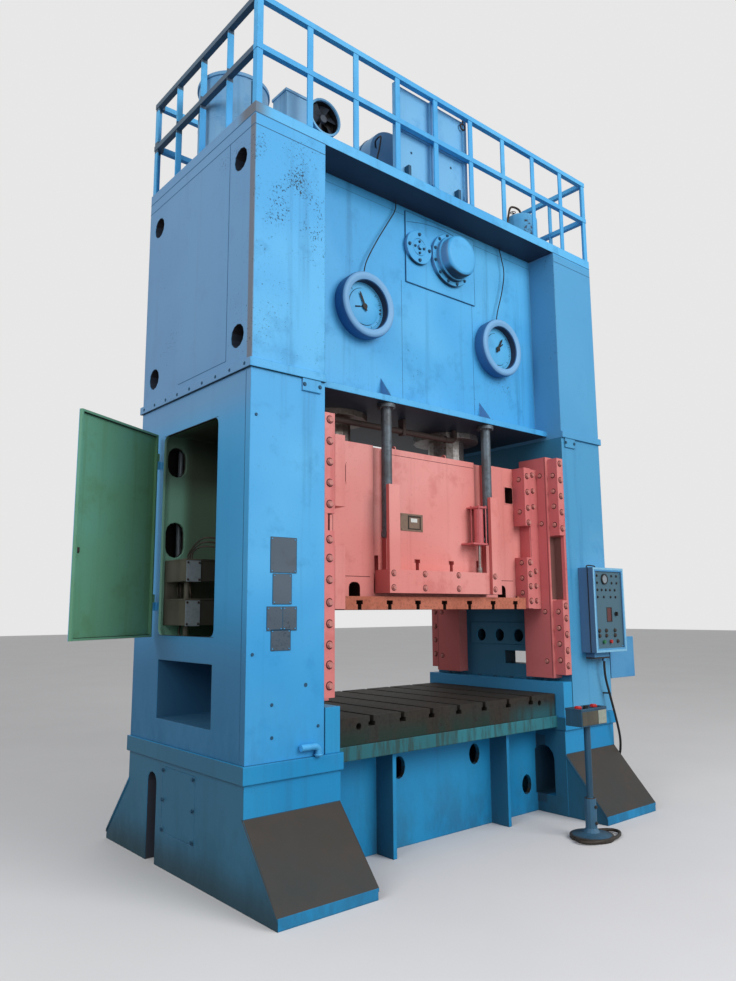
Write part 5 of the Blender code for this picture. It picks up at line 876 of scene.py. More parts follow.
def makeRods(r):
    thread = [(r["radius"] - 0.0022 * (index % 2), 2.381 + 0.004 * index) for index in range(36)]
    shape = [(0.0, 2.332), (0.030, 2.332)] + [(0.030, 2.338), (r["radius"] - 0.003, 2.340),
                                              (r["radius"] - 0.003, 2.378)]
    shape += thread + [(r["radius"], 2.535), (r["radius"], 3.360), (0.046, 3.365), (0.072, 3.365),
                       (0.074, 3.367), (0.074, 3.3975), (0.072, r["top"]), (0.0, r["top"])]
    for name, side in sides.items():
        centre = (side * r["x"], r["y"], 0.0)
        nut = bolts([(side * r["x"], r["y"], r["bottom"])], (0, 0, 1), 0.0498, 0.05, 0.9)
        flange = bolts(spotsOn(0.060, 6, centre, 2, 3.365), (0, 0, -1), 0.009, 0.008)
        makePiece("stopRod" + name.title(), [turned(shape, centre, 2, 48), nut, flange], rodSteel,
                  replaces=("stop_rod_" + name,))
    shape = [(0.0113, 2.32), (0.046, 2.32), (0.050, 2.324), (0.050, 2.338), (0.046, 2.342), (0.040, 2.342),
             (0.040, 2.638), (0.046, 2.638), (0.050, 2.642), (0.050, 2.656), (0.046, 2.66), (0.0113, 2.66)]
    x, y = r["cylinder"]
    lugs = boxes((x - 0.13, x + 0.056, y - 0.052, -0.5053, 2.324, 2.338),
                 (x - 0.052, x + 0.052, y - 0.052, -0.5053, 2.643, 2.657))
    ties = [tube([(x + dx, y + dy, 2.33), (x + dx, y + dy, 2.665)], 0.0055, 8, 0) for dx in (-0.044, 0.044)
            for dy in (-0.044, 0.044)]
    ties.append(bolts([(x + dx, y + dy, 2.657) for dx in (-0.044, 0.044) for dy in (-0.044, 0.044)],
                      (0, 0, 1), 0.009, 0.010))
    makePiece("airBarrel", [turned(shape, (x, y, 0.0), 2, 48), lugs] + ties, cylinderRed,
              "ram", replaces=("air_cylinder",))
    fittings = [tube([(x + 0.040, y, z), (x + 0.062, y, z), (x + 0.070, y, z + 0.010),
                      (x + 0.070, y, z + 0.03)], 0.006, 10)
                for z in (2.36, 2.60)]
    makePiece("airFittings", fittings, brightSteel, "ram")


makeRods(rod)

# Pipe under the crown, with a bend at its right end
pipe = [(-1.36, -0.30, 3.285), (-0.92, -0.30, 3.290), (-0.40, -0.30, 3.294), (0.20, -0.30, 3.298),
        (0.44, -0.30, 3.300), (0.485, -0.30, 3.312), (0.50, -0.30, 3.345), (0.50, -0.30, 3.395)]
makePiece("crownPipe", [tube(pipe, 0.026, 20, 5), ringPart((0.38, -0.30, 3.2995), 0, 0.027, 0.006, 28)],
          pipeBrown)
makePiece("crownPipeClips",
          [boxes(*[(x - 0.015, x + 0.015, -0.332, -0.268, 3.262, 3.3995) for x in (-1.10, -0.15)])],
          pipeBrown)

print("ram and guides done")

# Deck: tanks, receiver and fan, turned finely, with their seams, valves and pipes
deck = {"top": 5.3003, "tank": (-1.64, 0.10, 0.0), "receiver": (1.60, -0.30, 0.0),
        "fan": (-1.26, 0.0, 5.587)}


def makeTanks(d):
    top, wide = d["top"], 0.297
    shape = [(0.0, top), (wide - 0.002, top), (wide, top + 0.002), (wide, top + 0.018),
             (wide - 0.002, top + 0.020), (0.285, top + 0.021), (0.285, 5.64), (0.2865, 5.642),
             (0.2865, 5.648), (0.285, 5.65), (0.285, 5.999), (wide - 0.002, 6.0), (wide, 6.002),
             (wide, 6.028), (wide - 0.002, 6.03), (0.0, 6.03)]
    makePiece("tankShell", [turned(shape, d["tank"], 2, 96)], tankPaint,
              replaces=("oil_tank",))
    x, y = d["tank"][:2]
    seam = [boxes((x - 0.006, x + 0.006, y - 0.2868, y - 0.283, 5.34, 5.99)),
            boxes((x - 0.2868, x - 0.283, y - 0.006, y + 0.006, 5.34, 5.99))]
    seam.append(bolts(spotsOn(0.272, 16, d["tank"], 2, 6.0303), (0, 0, 1), 0.010, 0.009))
    makePiece("tankSeams", seam, darkBlue)
    breather = [(0.0, 6.0303), (0.034, 6.0303), (0.034, 6.038), (0.016, 6.040), (0.016, 6.075),
                (0.040, 6.078), (0.042, 6.084), (0.042, 6.118), (0.038, 6.126), (0.0, 6.130)]
    makePiece("tankBreather", [turned(breather, (x + 0.10, y + 0.12, 0.0), 2, 40)], darkSteel)
    dome = [(0.17 * math.cos(a), 5.82 + 0.06 * math.sin(a)) for a in np.radians(np.linspace(0, 80, 8))]
    shape = [(0.0, top), (0.155, top), (0.155, 5.335), (0.17, 5.336), (0.17, 5.42), (0.1715, 5.421),
             (0.1715, 5.424), (0.17, 5.425)] + dome + [(0.0, 5.88)]
    makePiece("receiverShell", [turned(shape, d["receiver"], 2, 80)], receiverPaint,
              replaces=("air_receiver",))
    x, y = d["receiver"][:2]
    fittings = [tube([(x, y, 5.875), (x, y, 5.93), (x - 0.03, y, 5.955), (x - 0.10, y, 5.955),
                      (x - 0.16, y, 5.93), (x - 0.19, y, 5.86), (x - 0.20, y + 0.02, 5.70),
                      (x - 0.20, y + 0.02, 5.301)], 0.011, 14),
                turned([(0.0, 5.868), (0.022, 5.868), (0.022, 5.900), (0.0, 5.900)], (x, y, 0.0), 2, 24),
                ringPart((x - 0.06, y + 0.05, 5.93), 2, 0.026, 0.004, 28),
                tube([(x - 0.06, y + 0.05, 5.86), (x - 0.06, y + 0.05, 5.93)], 0.006, 10, 0),
                tube([(x - 0.086, y + 0.05, 5.93), (x - 0.034, y + 0.05, 5.93)], 0.003, 8, 0)]
    makePiece("receiverPipes", fittings, darkSteel)
    low, high = (-0.62, top), (0.32, 5.93)
    turn = np.radians(np.linspace(0.0, 90.0, 13))
    left = [(low[0] + 0.26 - 0.26 * math.cos(a), high[1] - 0.26 + 0.26 * math.sin(a)) for a in turn]
    right = [(high[0] - 0.26 + 0.26 * math.sin(a), high[1] - 0.26 + 0.26 * math.cos(a)) for a in turn]
    line = np.array([(low[0], low[1])] + left + right + [(high[0], low[1])])
    middle = np.array([(-0.15, 5.60)])
    # the outline at each y, drawn in towards its middle by a share: 1 closes an end, 0 is the full outline
    ends = ((1.0, -0.45), (0.00024, -0.45), (0.0, -0.442), (0.0, 0.342), (0.00024, 0.35), (1.0, 0.35))
    rows = [np.insert(line + (middle - line) * share, 1, y, axis=1) for share, y in ends]
    makePiece("headerShell", [(np.array(rows), gridFaces(6, len(line), False, True))], tankPaint,
              replaces=("header_tank",), sharp=28.0)
    straps = [tube(np.insert(line, 1, y, axis=1)[1:-1], 0.006, 8, 0) for y in (-0.30, 0.20)]
    pipes = [tube([(0.10, -0.10, 5.925), (0.10, -0.10, 6.00), (0.13, -0.10, 6.03), (0.42, -0.10, 6.03),
                   (0.46, -0.10, 6.0), (0.47, -0.10, 5.80), (0.47, -0.10, 5.301)], 0.024, 20)]
    pipes += [turned([(0.0, top), (0.052, top), (0.052, 5.322), (0.0, 5.322)],
                     (0.47, -0.10, 0.0), 2, 32),
              turned([(0.0, 5.922), (0.045, 5.922), (0.045, 5.942), (0.0, 5.942)],
                     (0.10, -0.10, 0.0), 2, 32)]
    makePiece("headerStraps", straps, darkBlue)
    makePiece("headerPipe", pipes, smallPaint)


def makeFan(d):
    front, back, end = -0.66, -0.46, -0.20
    shape = [(0.0, front + 0.07), (0.132, front + 0.07), (0.132, front + 0.003), (0.135, front),
             (0.147, front), (0.15, front + 0.003), (0.15, back - 0.003), (0.147, back), (0.100, back),
             (0.100, end - 0.05), (0.108, end - 0.048), (0.108, end - 0.006), (0.100, end), (0.0, end)]
    x, z = d["fan"][0], d["fan"][2]
    points, quads = boxes((-0.002, 0.002, back + 0.01, end - 0.055, 0.095, 0.109))
    ribs = []
    for angle in np.radians(np.arange(0, 360, 15)):
        turn = np.array(((math.cos(angle), 0.0, -math.sin(angle)), (0.0, 1.0, 0.0),
                         (math.sin(angle), 0.0, math.cos(angle))))
        ribs.append((points @ turn + np.array(d["fan"]), quads))
    foot = boxes((x - 0.09, x + 0.09, back + 0.04, end - 0.04, d["top"], 5.318),
                 (x - 0.07, x - 0.055, back + 0.05, end - 0.05, 5.31, 5.54),
                 (x + 0.055, x + 0.07, back + 0.05, end - 0.05, 5.31, 5.54))
    makePiece("fanShell", [turned(shape, d["fan"], 1, 80), foot] + ribs, tankPaint,
              replaces=("fan_motor",))
    # a black lining inside the housing behind the blades: painted shade of its dark opening
    shadeLining = turned([(0.0, front + 0.066), (0.131, front + 0.066), (0.131, front + 0.012),
                   (0.1315, front + 0.012), (0.1315, front + 0.069), (0.0, front + 0.069)],
                  d["fan"], 1, 48)
    hub = turned([(0.0, front + 0.02), (0.030, front + 0.02), (0.034, front + 0.026), (0.034, front + 0.067),
                  (0.0, front + 0.067)], d["fan"], 1, 32)
    makePiece("fanShadeLining", [shadeLining], blackIron)
    # each blade runs from the hub to the rim; its depth falls with the angle about the axis
    radius, part = np.meshgrid((0.030, 0.06, 0.09, 0.124), np.linspace(0.0, 1.0, 5), indexing="ij")
    blades = [hub]
    for start in np.radians(np.arange(0, 360, 60)):
        angle = start + part * 0.62
        place = np.stack([radius * np.cos(angle), front + 0.026 + 0.034 * part, radius * np.sin(angle)], -1)
        sheetPoints = np.concatenate([place, place[::-1] + np.array((0.0, 0.003, 0.0))])
        blades.append((sheetPoints + np.array(d["fan"]), gridFaces(8, 5, True, False)))
    makePiece("fanBlades", blades, fanMetal)
    rim = turned([(0.1335, front - 0.004), (0.1495, front - 0.004), (0.1505, front + 0.002),
                  (0.1505, front + 0.020), (0.1500, front + 0.0205), (0.1500, front), (0.1335, front)],
                  d["fan"], 1, 64)
    makePiece("fanRim", [rim], railPale)
    eye = [ringPart((x, -0.33, z + 0.128), 1, 0.022, 0.006, 24)]
    makePiece("fanEye", eye, darkSteel)


def makeDeckSmall(d):
    top = d["top"]
    lid = [boxes((-1.648, -1.412, -0.688, -0.492, 5.6303, 5.650)),
           boxes((-1.64, -1.42, -0.6845, -0.6795, 5.34, 5.615))]
    makePiece("terminalCover", lid, tankPaint)
    wires = [tube([(-1.53 + s, -0.59, 5.652), (-1.50 + s, -0.59, 5.70), (-1.44, -0.57 + s, 5.69),
                   (-1.38, -0.54 + s, 5.58), (-1.34, -0.50, 5.46), (-1.32, -0.44, 5.36),
                   (-1.31, -0.40, 5.305)], 0.007, 10) for s in (0.0, 0.02)]
    wires.append(tube([(-0.655, -0.60, 5.302), (-0.655, -0.61, 5.36), (-0.69, -0.62, 5.46),
                       (-0.66, -0.62, 5.60), (-0.63, -0.60, 5.72), (-0.60, -0.50, 5.74),
                       (-0.55, -0.445, 5.72)], 0.007, 10))
    makePiece("deckWires", wires, blackRubber)
    heads = [bolts([(side * 1.955, y, top) for side in (-1, 1) for y in (-0.70, 0.70)], (0, 0, 1),
                   0.014, 0.012)]
    feet = []
    wide, deep = 1.992, 0.828
    for end in (-1, 1):
        for index in range(1, 9):
            x = -wide + 2.0 * wide * index / 9
            low, high = sorted((end * deep, end * (deep - 0.07)))
            feet.append((x - 0.004, x + 0.054, low, high, top, 5.308))
    makePiece("postFeet", [boxes(*feet)] + heads, smallPaint)
    clips = boxes((-0.50, -0.47, -0.80, -0.74, top, 5.42), (0.10, 0.13, -0.80, -0.74, top, 5.42))
    makePiece("panelClips", [clips], darkBlue)
    ring = [ringPart((0.205, -0.7725, 6.075), 1, 0.028, 0.007, 28),
            tube([(0.205, -0.7725, 6.103), (0.205, -0.7725, 6.15)], 0.006, 8, 0)]
    makePiece("panelRing", ring, darkSteel)
    hook = [(-0.60, -0.776, 6.14), (-0.60, -0.776, 6.09), (-0.60, -0.782, 6.06), (-0.585, -0.785, 6.045),
            (-0.575, -0.782, 6.06)]
    makePiece("panelHook", [tube(hook, 0.006, 10)], darkBlue)
    spots = [(-0.28, -0.7503, 5.80), (0.06, -0.7503, 5.63), (-0.42, -0.7503, 5.58)]
    makePiece("panelPlugs", [bolts(spots, (0, -1, 0), 0.009, 0.004)], darkBlue)
    strips = [(x - 0.001, x + 0.041, -0.7725, -0.7495, 5.735, 5.765) for x in (-0.62, -0.205, 0.21)]
    bar = boxes((-0.58, -0.205, -0.772, -0.7497, 5.73, 5.77), (-0.165, 0.21, -0.772, -0.7497, 5.73, 5.77))
    makePiece("panelBars", [bar, boxes(*strips)], panelPaint)


receiverPaint = wornPaint("receiverPaint", paint=(0.09, 0.36, 0.63), faded=(0.13, 0.40, 0.64), chips=0.4,
                          grimeTop=0.0, round=0.004, shift=51.0,
                          worn=(((1.40, 1.62, -0.60, -0.40, 5.35, 5.72), 0.30),))
makeTanks(deck)
makeFan(deck)
makeDeckSmall(deck)
print("deck done")

# Cabinet: pump, pipes, wires and caps of the valves; hinges' leaves, door rim and seal
cabinet = {"low": (1.67, 1.86), "high": (1.99, 2.15), "x": (-1.955, -1.72), "y": (0.08, 0.42),
           "cap": 0.115}


def makeCabinet(c):
    caps, screws = [], []
    left, near = c["x"][0], c["y"][0]
    for low, high in (c["low"], c["high"]):
        caps.append((left, left + c["cap"], near - 0.0043, near - 0.0003, low - 0.004, high - 0.0105))
        screws += [(left + dx, near - 0.0043, z) for dx in (0.012, c["cap"] - 0.012)
                   for z in (low + 0.011, high - 0.025)]
    makePiece("valveCaps", [boxes(*caps)], capMetal)
    makePiece("valveScrews", [bolts(screws, (0, -1, 0), 0.007, 0.006)], darkSteel)
    lids = boxes(*[(left - 0.002, c["x"][1] + 0.002, near - 0.002, c["y"][1] + 0.002,
                    high - 0.010, high + 0.003) for _, high in (c["low"], c["high"])])
    makePiece("valveLids", [lids], greyPaint)
    pump = (-1.70, -0.12, 0.0)
    shape = [(0.0, 1.5803), (0.115, 1.5803), (0.115, 1.60), (0.085, 1.605), (0.085, 1.82), (0.092, 1.825),
             (0.092, 1.85), (0.060, 1.86), (0.055, 1.98), (0.064, 1.99), (0.064, 2.03), (0.020, 2.04),
             (0.018, 2.09), (0.0, 2.09)]
    parts = [turned(shape, pump, 2, 48), bolts(spotsOn(0.100, 6, pump, 2, 1.60), (0, 0, 1), 0.010, 0.010),
             tube([(-1.70, -0.12, 2.05), (-1.70, -0.12, 2.20), (-1.68, -0.10, 2.27), (-1.66, 0.0, 2.29),
                   (-1.66, 0.10, 2.27), (-1.66, 0.16, 2.20), (-1.66, 0.16, 2.14)], 0.017, 14),
             tube([(-1.70, -0.20, 1.70), (-1.70, -0.30, 1.70), (-1.70, -0.34, 1.66),
                   (-1.70, -0.34, 1.59)], 0.015, 14)]
    makePiece("cabinetPump", parts, pumpMetal)
    thin = [tube([(-1.90, 0.10 + s, 2.14), (-1.90, 0.09 + s, 2.20), (-1.86, 0.02, 2.24 + s),
                  (-1.74, -0.06, 2.22 + s), (-1.62, -0.18, 2.10 + s), (-1.56, -0.28, 1.92),
                  (-1.55, -0.34, 1.72), (-1.55, -0.38, 1.60)], 0.006, 8) for s in (0.0, 0.03, 0.06)]
    thin += [tube([(-1.87, 0.36 - s, 1.99), (-1.89, 0.34 - s, 1.95), (-1.89, 0.33 - s, 1.90),
                   (-1.87, 0.35 - s, 1.862)], 0.006, 8) for s in (0.0, 0.05, 0.20)]
    thin += [tube([(-1.88, 0.30, 1.668), (-1.89, 0.30, 1.62), (-1.88, 0.28, 1.583)], 0.008, 8),
             tube([(-1.56, 0.03, 1.60), (-1.53, 0.02, 1.80), (-1.53, 0.0, 2.02), (-1.55, -0.04, 2.16),
                   (-1.60, -0.10, 2.20)], 0.010, 10)]
    makePiece("cabinetPipes", thin, darkSteel)
    duct = [(-1.778, 0.575, 1.73), (-1.778, 0.575, 2.20), (-1.782, 0.58, 2.60), (-1.778, 0.575, 3.05)]
    makePiece("ductPipe", [tube(duct, 0.020, 20, 4)], capMetal)
    edge = [(-2.0006, -1.9785, -0.4203, 0.4203, 1.597, 1.6003),
            (-2.0006, -1.9785, -0.4203, 0.4203, 3.1097, 3.113)]
    makePiece("doorwaySeal", [boxes(*edge)], blackRubber)


def makeDoorDetails():
    # places on the door are given along its width, across it and in height, from the hinge's axis
    hinge = np.array((-2.032, 0.457, 0.0))
    rows = np.array(((-math.sqrt(0.75), -0.5, 0.0), doorOut, (0.0, 0.0, 1.0)))

    def placed(parts):
        return [(points @ rows + hinge, quads) for points, quads in parts]

    fold = boxes((0.034, 0.872, -0.0135, -0.0128, 1.585, 1.590),
                 (0.034, 0.872, -0.0135, -0.0128, 3.120, 3.125))
    makePiece("doorRim", placed([fold]), paleGreen, "cabinet_door")
    ribs = boxes((0.040, 0.866, -0.0130, 0.0065, 1.6012, 1.604),
                 (0.040, 0.866, -0.0130, 0.0065, 3.106, 3.109))
    makePiece("doorSeal", placed([ribs]), blackRubber, "cabinet_door")
    plates = boxes(*[(0.024, 0.078, 0.0132, 0.0170, z - 0.06, z + 0.06) for z in (1.84, 2.92)])
    makePiece("hingePlates", placed([plates]), darkSteel, "cabinet_door")
    heads = [(x, 0.0172, z + dz) for x in (0.038, 0.064) for z in (1.84, 2.92) for dz in (-0.04, 0.0, 0.04)]
    makePiece("hingeScrews", placed([bolts(heads, (0, 1, 0), 0.006, 0.004)]), darkSteel,
              "cabinet_door")
    ring = [turned([(0.0095, 0.0133), (0.020, 0.0133), (0.020, 0.0165), (0.0095, 0.0165)],
                   (0.8465, 0.0, 2.17), 1, 24)]
    makePiece("latchRing", placed(ring), darkSteel, "cabinet_door")


pumpMetal = rustySteel("pumpMetal", (0.10, 0.085, 0.062), (0.085, 0.060, 0.040), (0.035, 0.028, 0.022),
                       metal=0.15, shift=41.0)
paleGreen = plainFinish("paleGreen", (0.17, 0.30, 0.22), 0.5)
makeCabinet(cabinet)
makeDoorDetails()
print("cabinet done")

# Left upright: bare plates, plugs and the pipe stub at its foot
bare = {"plates": ((-1.827, -1.626, 2.019, 2.248), (-1.807, -1.664, 1.815, 2.008),
                   (-1.85, -1.733, 1.646, 1.796), (-1.727, -1.622, 1.646, 1.796),
                   (-1.817, -1.669, 1.519, 1.65)),
        "plugs": ((-1.805, 1.182), (-1.802, 0.98), (-1.955, 3.05), (-1.955, 1.50), (-1.44, 1.02))}


def makeUprightDetails(b):
    y, depth = -0.8363, half["depth"]
    plates = boxes(*[(x0, x1, y - 0.003, y, z0, z1) for x0, x1, z0, z1 in b["plates"]])
    makePiece("barePlates", [plates], platePaint)
    rivets = [(x, y - 0.003, z) for x0, x1, z0, z1 in b["plates"] for x in (x0 + 0.010, x1 - 0.010)
              for z in (z0 + 0.010, z1 - 0.010)]
    rims = []
    for x0, x1, z0, z1 in b["plates"]:
        rims += [(x0 - 0.002, x1 + 0.002, y - 0.0032, y, z1, z1 + 0.003),
                 (x0 - 0.002, x1 + 0.002, y - 0.0032, y, z0 - 0.003, z0),
                 (x0 - 0.003, x0, y - 0.0032, y, z0, z1), (x1, x1 + 0.003, y - 0.0032, y, z0, z1)]
    makePiece("plateRims", [boxes(*rims)], darkBlue)
    makePiece("plateRivets", [bolts(rivets, (0, -1, 0), 0.004, 0.0025)], smallPaint)
    plugs = [turned([(0.0, y - 0.006), (0.009, y - 0.006), (0.011, y - 0.003), (0.011, y), (0.0, y)],
                    (x, 0.0, z), 1, 20) for x, z in b["plugs"]]
    # a dark disc for a hole: painted shade
    hole = turned([(0.0, y - 0.0008), (0.014, y - 0.0008), (0.014, y), (0.0, y)],
                  (-1.542, 0.0, 1.289), 1, 24)
    makePiece("uprightPlugs", plugs + [hole], darkBlue)
    stub = tube([(-1.455, -0.862, 0.8305), (-1.455, -0.862, 0.86), (-1.458, -0.862, 0.880),
                 (-1.475, -0.862, 0.893), (-1.50, -0.862, 0.896), (-1.595, -0.862, 0.896)], 0.022, 20, 5)
    makePiece("pipeStub", [stub, ringPart((-1.455, -0.862, 0.842), 2, 0.024, 0.006, 28)], smallPaint)
    seams = []
    for side in (-1, 1):
        x0, x1 = sorted((side * half["pillar"], side * half["width"]))
        seams += [(x0, x1, -0.8368, -0.8355, 0.8275, 0.8325),
                  (x0 + 0.004, x1 - 0.004, 0.8355, 0.8368, 0.8275, 0.8325)]
    seams += [(-2.0008, -1.9992, -depth, depth, 0.8275, 0.8325),
              (1.9992, 2.0008, -depth, depth, 0.8275, 0.8325)]
    makePiece("uprightSeams", [boxes(*seams)], darkBlue)
    heads = [(side * 1.3177, y2, 1.1303) for side in (-1, 1) for y2 in np.linspace(-0.60, 0.60, 7)]
    makePiece("keyBolts", [bolts(heads, (0, 0, 1), 0.016, 0.014)], darkBlue)
    spots = [(side * (1.43 + 0.12 * k), -0.8483, 3.325) for side in (-1, 1) for k in (0.1, 1.2)]
    makePiece("tabBolts", [bolts(spots, (0, -1, 0), 0.012, 0.008)], darkBlue)


platePaint = wornPaint("platePaint", paint=(0.062, 0.088, 0.118), faded=(0.085, 0.115, 0.15),
                       deep=(0.040, 0.050, 0.062), runs=(0.05, 0.06, 0.07), chips=1.2, chipSize=70.0,
                       streaks=0.1, grimeTop=0.0, round=0.002, shift=64.0)
makeUprightDetails(bare)

# Control box: rows of lamps, meter, dark display and push buttons
panelPlate = {"level": -0.9823, "meter": (1.745, 2.045), "display": (1.7703, 1.8397, 1.6603, 1.7797),
              "lamps": ((1.632, 2.075), (1.632, 2.01), (1.868, 2.075), (1.868, 2.01), (1.95, 2.075),
                        (1.95, 2.01), (1.632, 1.945), (1.70, 1.945), (1.768, 1.945), (1.836, 1.945),
                        (1.914, 1.945), (1.632, 1.88), (1.73, 1.88), (1.84, 1.88), (1.92, 1.88)),
              "buttons": ((1.63, 1.575), (1.74, 1.575), (1.88, 1.575), (1.63, 1.53), (1.74, 1.53),
                          (1.88, 1.53), (1.92, 1.475))}


def makePanel(p):
    y = p["level"]
    lamps = [turned([(0.0, y - 0.010), (0.007, y - 0.009), (0.009, y - 0.006), (0.009, y - 0.002),
                     (0.013, y - 0.002), (0.013, y), (0.0, y)], (x, 0.0, z), 1, 20) for x, z in p["lamps"]]
    makePiece("panelLamps", lamps, blackPlastic, "control_door")
    x, z = p["meter"]
    meter = turned([(0.0, y - 0.009), (0.038, y - 0.009), (0.039, y - 0.014), (0.048, y - 0.014),
                    (0.050, y - 0.010), (0.050, y), (0.0, y)], (x, 0.0, z), 1, 48)
    makePiece("panelMeter", [meter], blackPlastic, "control_door")
    scale = [tube([(x + 0.030 * math.cos(a), y - 0.0095, z + 0.030 * math.sin(a)),
                   (x + 0.036 * math.cos(a), y - 0.0095, z + 0.036 * math.sin(a))], 0.0006, 6, 0)
             for a in np.radians(np.arange(20, 170, 15))]
    scale.append(turned([(0.0, y - 0.0094), (0.0375, y - 0.0094), (0.0375, y - 0.0088), (0.0, y - 0.0088)],
                        (x, 0.0, z), 1, 40))
    makePiece("meterFace", scale[-1:], capMetal, "control_door")
    makePiece("meterMarks", scale[:-1], blackIron, "control_door")
    x0, x1, z0, z1 = p["display"]
    screen = [(x0, x1, y + 0.0010, y + 0.0055, z0, z1)]
    makePiece("panelDisplay", [boxes(*screen)], duskGlass, "control_door")
    rim = [(x0 - 0.008, x1 + 0.008, y - 0.003, y, z1, z1 + 0.007),
           (x0 - 0.008, x1 + 0.008, y - 0.003, y, z0 - 0.007, z0), (x0 - 0.008, x0, y - 0.003, y, z0, z1),
           (x1, x1 + 0.008, y - 0.003, y, z0, z1)]
    makePiece("displayRim", [boxes(*rim)], darkSteel, "control_door")
    caps = [turned([(0.0, y - 0.014), (0.013, y - 0.014), (0.015, y - 0.011), (0.015, y - 0.003),
                    (0.019, y - 0.003), (0.019, y), (0.0, y)], (x, 0.0, z), 1, 24) for x, z in p["buttons"]]
    makePiece("panelButtons", caps, darkSteel, "control_door")
    screws = [(x, y, z) for x in (1.605, 2.0) for z in (1.43, 2.10)]
    makePiece("panelScrews", [bolts(screws, (0, -1, 0), 0.005, 0.003)], smallPaint,
              "control_door")
    edge = boxes((1.555, 2.05, -0.9955, -0.9943, 2.130, 2.149),
                 (1.555, 2.05, -0.9955, -0.9943, 1.381, 1.400),
                 (1.556, 1.575, -0.9955, -0.9943, 1.400, 2.130),
                 (2.030, 2.049, -0.9955, -0.9943, 1.400, 2.130))
    makePiece("panelRimLight", [edge], paleBlue, "control_door")
    line = boxes((1.5490, 1.5553, -0.9420, -0.9350, 1.381, 2.149))
    makePiece("boxSeam", [line], blackRubber)
    shelf = boxes((1.62, 1.86, -0.926, -0.8363, 1.322, 1.3347))
    makePiece("shelfPlate", [shelf], darkSteel)
    clips = [ringPart((1.866, -0.902, 1.00), 2, 0.013, 0.003, 24)]
    makePiece("cableClip", clips + [boxes((1.855, 1.877, -0.889, -0.8363, 0.994, 1.006))], darkSteel)
    stay = tube([(1.60, -0.90, 2.1503), (1.60, -0.90, 2.165), (1.63, -0.90, 2.172),
                 (1.72, -0.90, 2.168), (1.74, -0.90, 2.153)], 0.006, 10)
    makePiece("boxTopWire", [stay], blackRubber)


makePanel(panelPlate)
print("uprights done")

# Two-hand stand: tray, front plate, sleeve screws and the foot's long loop
stand = {"x": 0.86, "y": -1.33}


def makeStand(s):
    x, y = s["x"], s["y"]
    low, high = 0.9803, 0.996
    tray = boxes((x - 0.172, x + 0.172, y - 0.077, y - 0.069, low, high),
                 (x - 0.172, x + 0.172, y + 0.069, y + 0.077, low, high),
                 (x - 0.172, x - 0.164, y - 0.069, y + 0.069, low, high),
                 (x + 0.164, x + 0.172, y - 0.069, y + 0.069, low, high))
    makePiece("standTray", [tray], standPaint)
    plate = boxes((x - 0.160, x + 0.05, y - 0.0775, y - 0.0753, 0.868, 0.972))
    makePiece("standPlate", [plate], greyPaint)
    label = boxes((x + 0.055, x + 0.165, y - 0.0775, y - 0.0753, 0.868, 0.972))
    makePiece("standLabel", [label], paleTan)
    middle = [turned([(0.0, 0.9803), (0.024, 0.9803), (0.024, 0.992), (0.020, 0.995), (0.020, 1.008),
                      (0.0, 1.010)], (x, y, 0.0), 2, 32)]
    makePiece("standKnob", middle, blackPlastic)
    sleeve = [ringPart((x, y, 0.3003), 2, 0.036, 0.006, 40)]
    sleeve.append(bolts([(x, y - 0.0453, 0.24), (x, y - 0.0453, 0.12)], (0, -1, 0), 0.010, 0.014))
    makePiece("standSleeve", sleeve, darkSteel)
    shape = [(0.0, 0.0003), (0.166, 0.0003), (0.1699, 0.004), (0.1699, 0.027), (0.166, 0.0315),
             (0.150, 0.0317), (0.0, 0.0317)]
    makePiece("standFoot", [turned(shape, (x, y, 0.0), 2, 72)], footIron)
    turn = np.radians(np.linspace(0.0, 360.0, 41))[:-1]
    path = np.stack([x + 0.03 + 0.235 * np.cos(turn), y - 0.04 + 0.115 * np.sin(turn),
                     np.full(40, 0.020)], -1)
    path = np.vstack([path, path[:1]])
    makePiece("standLoop", [tube(path, 0.013, 12, 2)], footIron)


paleTan = plainFinish("paleTan", (0.30, 0.33, 0.28), 0.6)
footIron = rustySteel("footIron", (0.045, 0.043, 0.040), (0.045, 0.034, 0.026), (0.016, 0.015, 0.014),
                      metal=0.2, rough=0.6, shift=55.0)
makeStand(stand)

# Bed: weld lines, cover screws and the holes in the bolster's front edge, drawn as black discs of painted
# shade
bed = {"screwRows": (-0.205, 0.24), "screwHeights": (0.26, 0.46, 0.66), "seams": (0.520, 0.719),
       "inner": 1.255, "holes": ((-1.10, 0.985), (1.10, 0.985), (-0.2, 0.90), (0.2, 0.90))}


def makeBedDetails(b):
    lines = []
    low, high = b["seams"]
    wide, depth = half["width"], half["depth"]
    for side in (-1, 1):
        x0, x1 = sorted((side * b["inner"], side * wide))
        for end in (-1, 1):
            y0, y1 = sorted((end * 0.8352, end * 0.8372))
            lines.append((x0, x1, y0, y1, low - 0.003, low + 0.003))
        lines.append((side * wide - 0.0008, side * wide + 0.0008, -depth, depth, high - 0.003, high + 0.003))
    makePiece("bedSeams", [boxes(*lines)], darkBlue)
    screws = [(-2.0103, y, z) for y in b["screwRows"] for z in b["screwHeights"]]
    makePiece("bedPanelScrews", [bolts(screws, (-1, 0, 0), 0.011, 0.009)], darkBlue)
    holes = [turned([(0.0, -0.7508), (0.012, -0.7508), (0.012, -0.75), (0.0, -0.75)], (x, 0.0, z), 1, 20)
             for x, z in b["holes"]]
    makePiece("bolsterHoles", holes, blackIron)


makeBedDetails(bed)
print("pieces done")


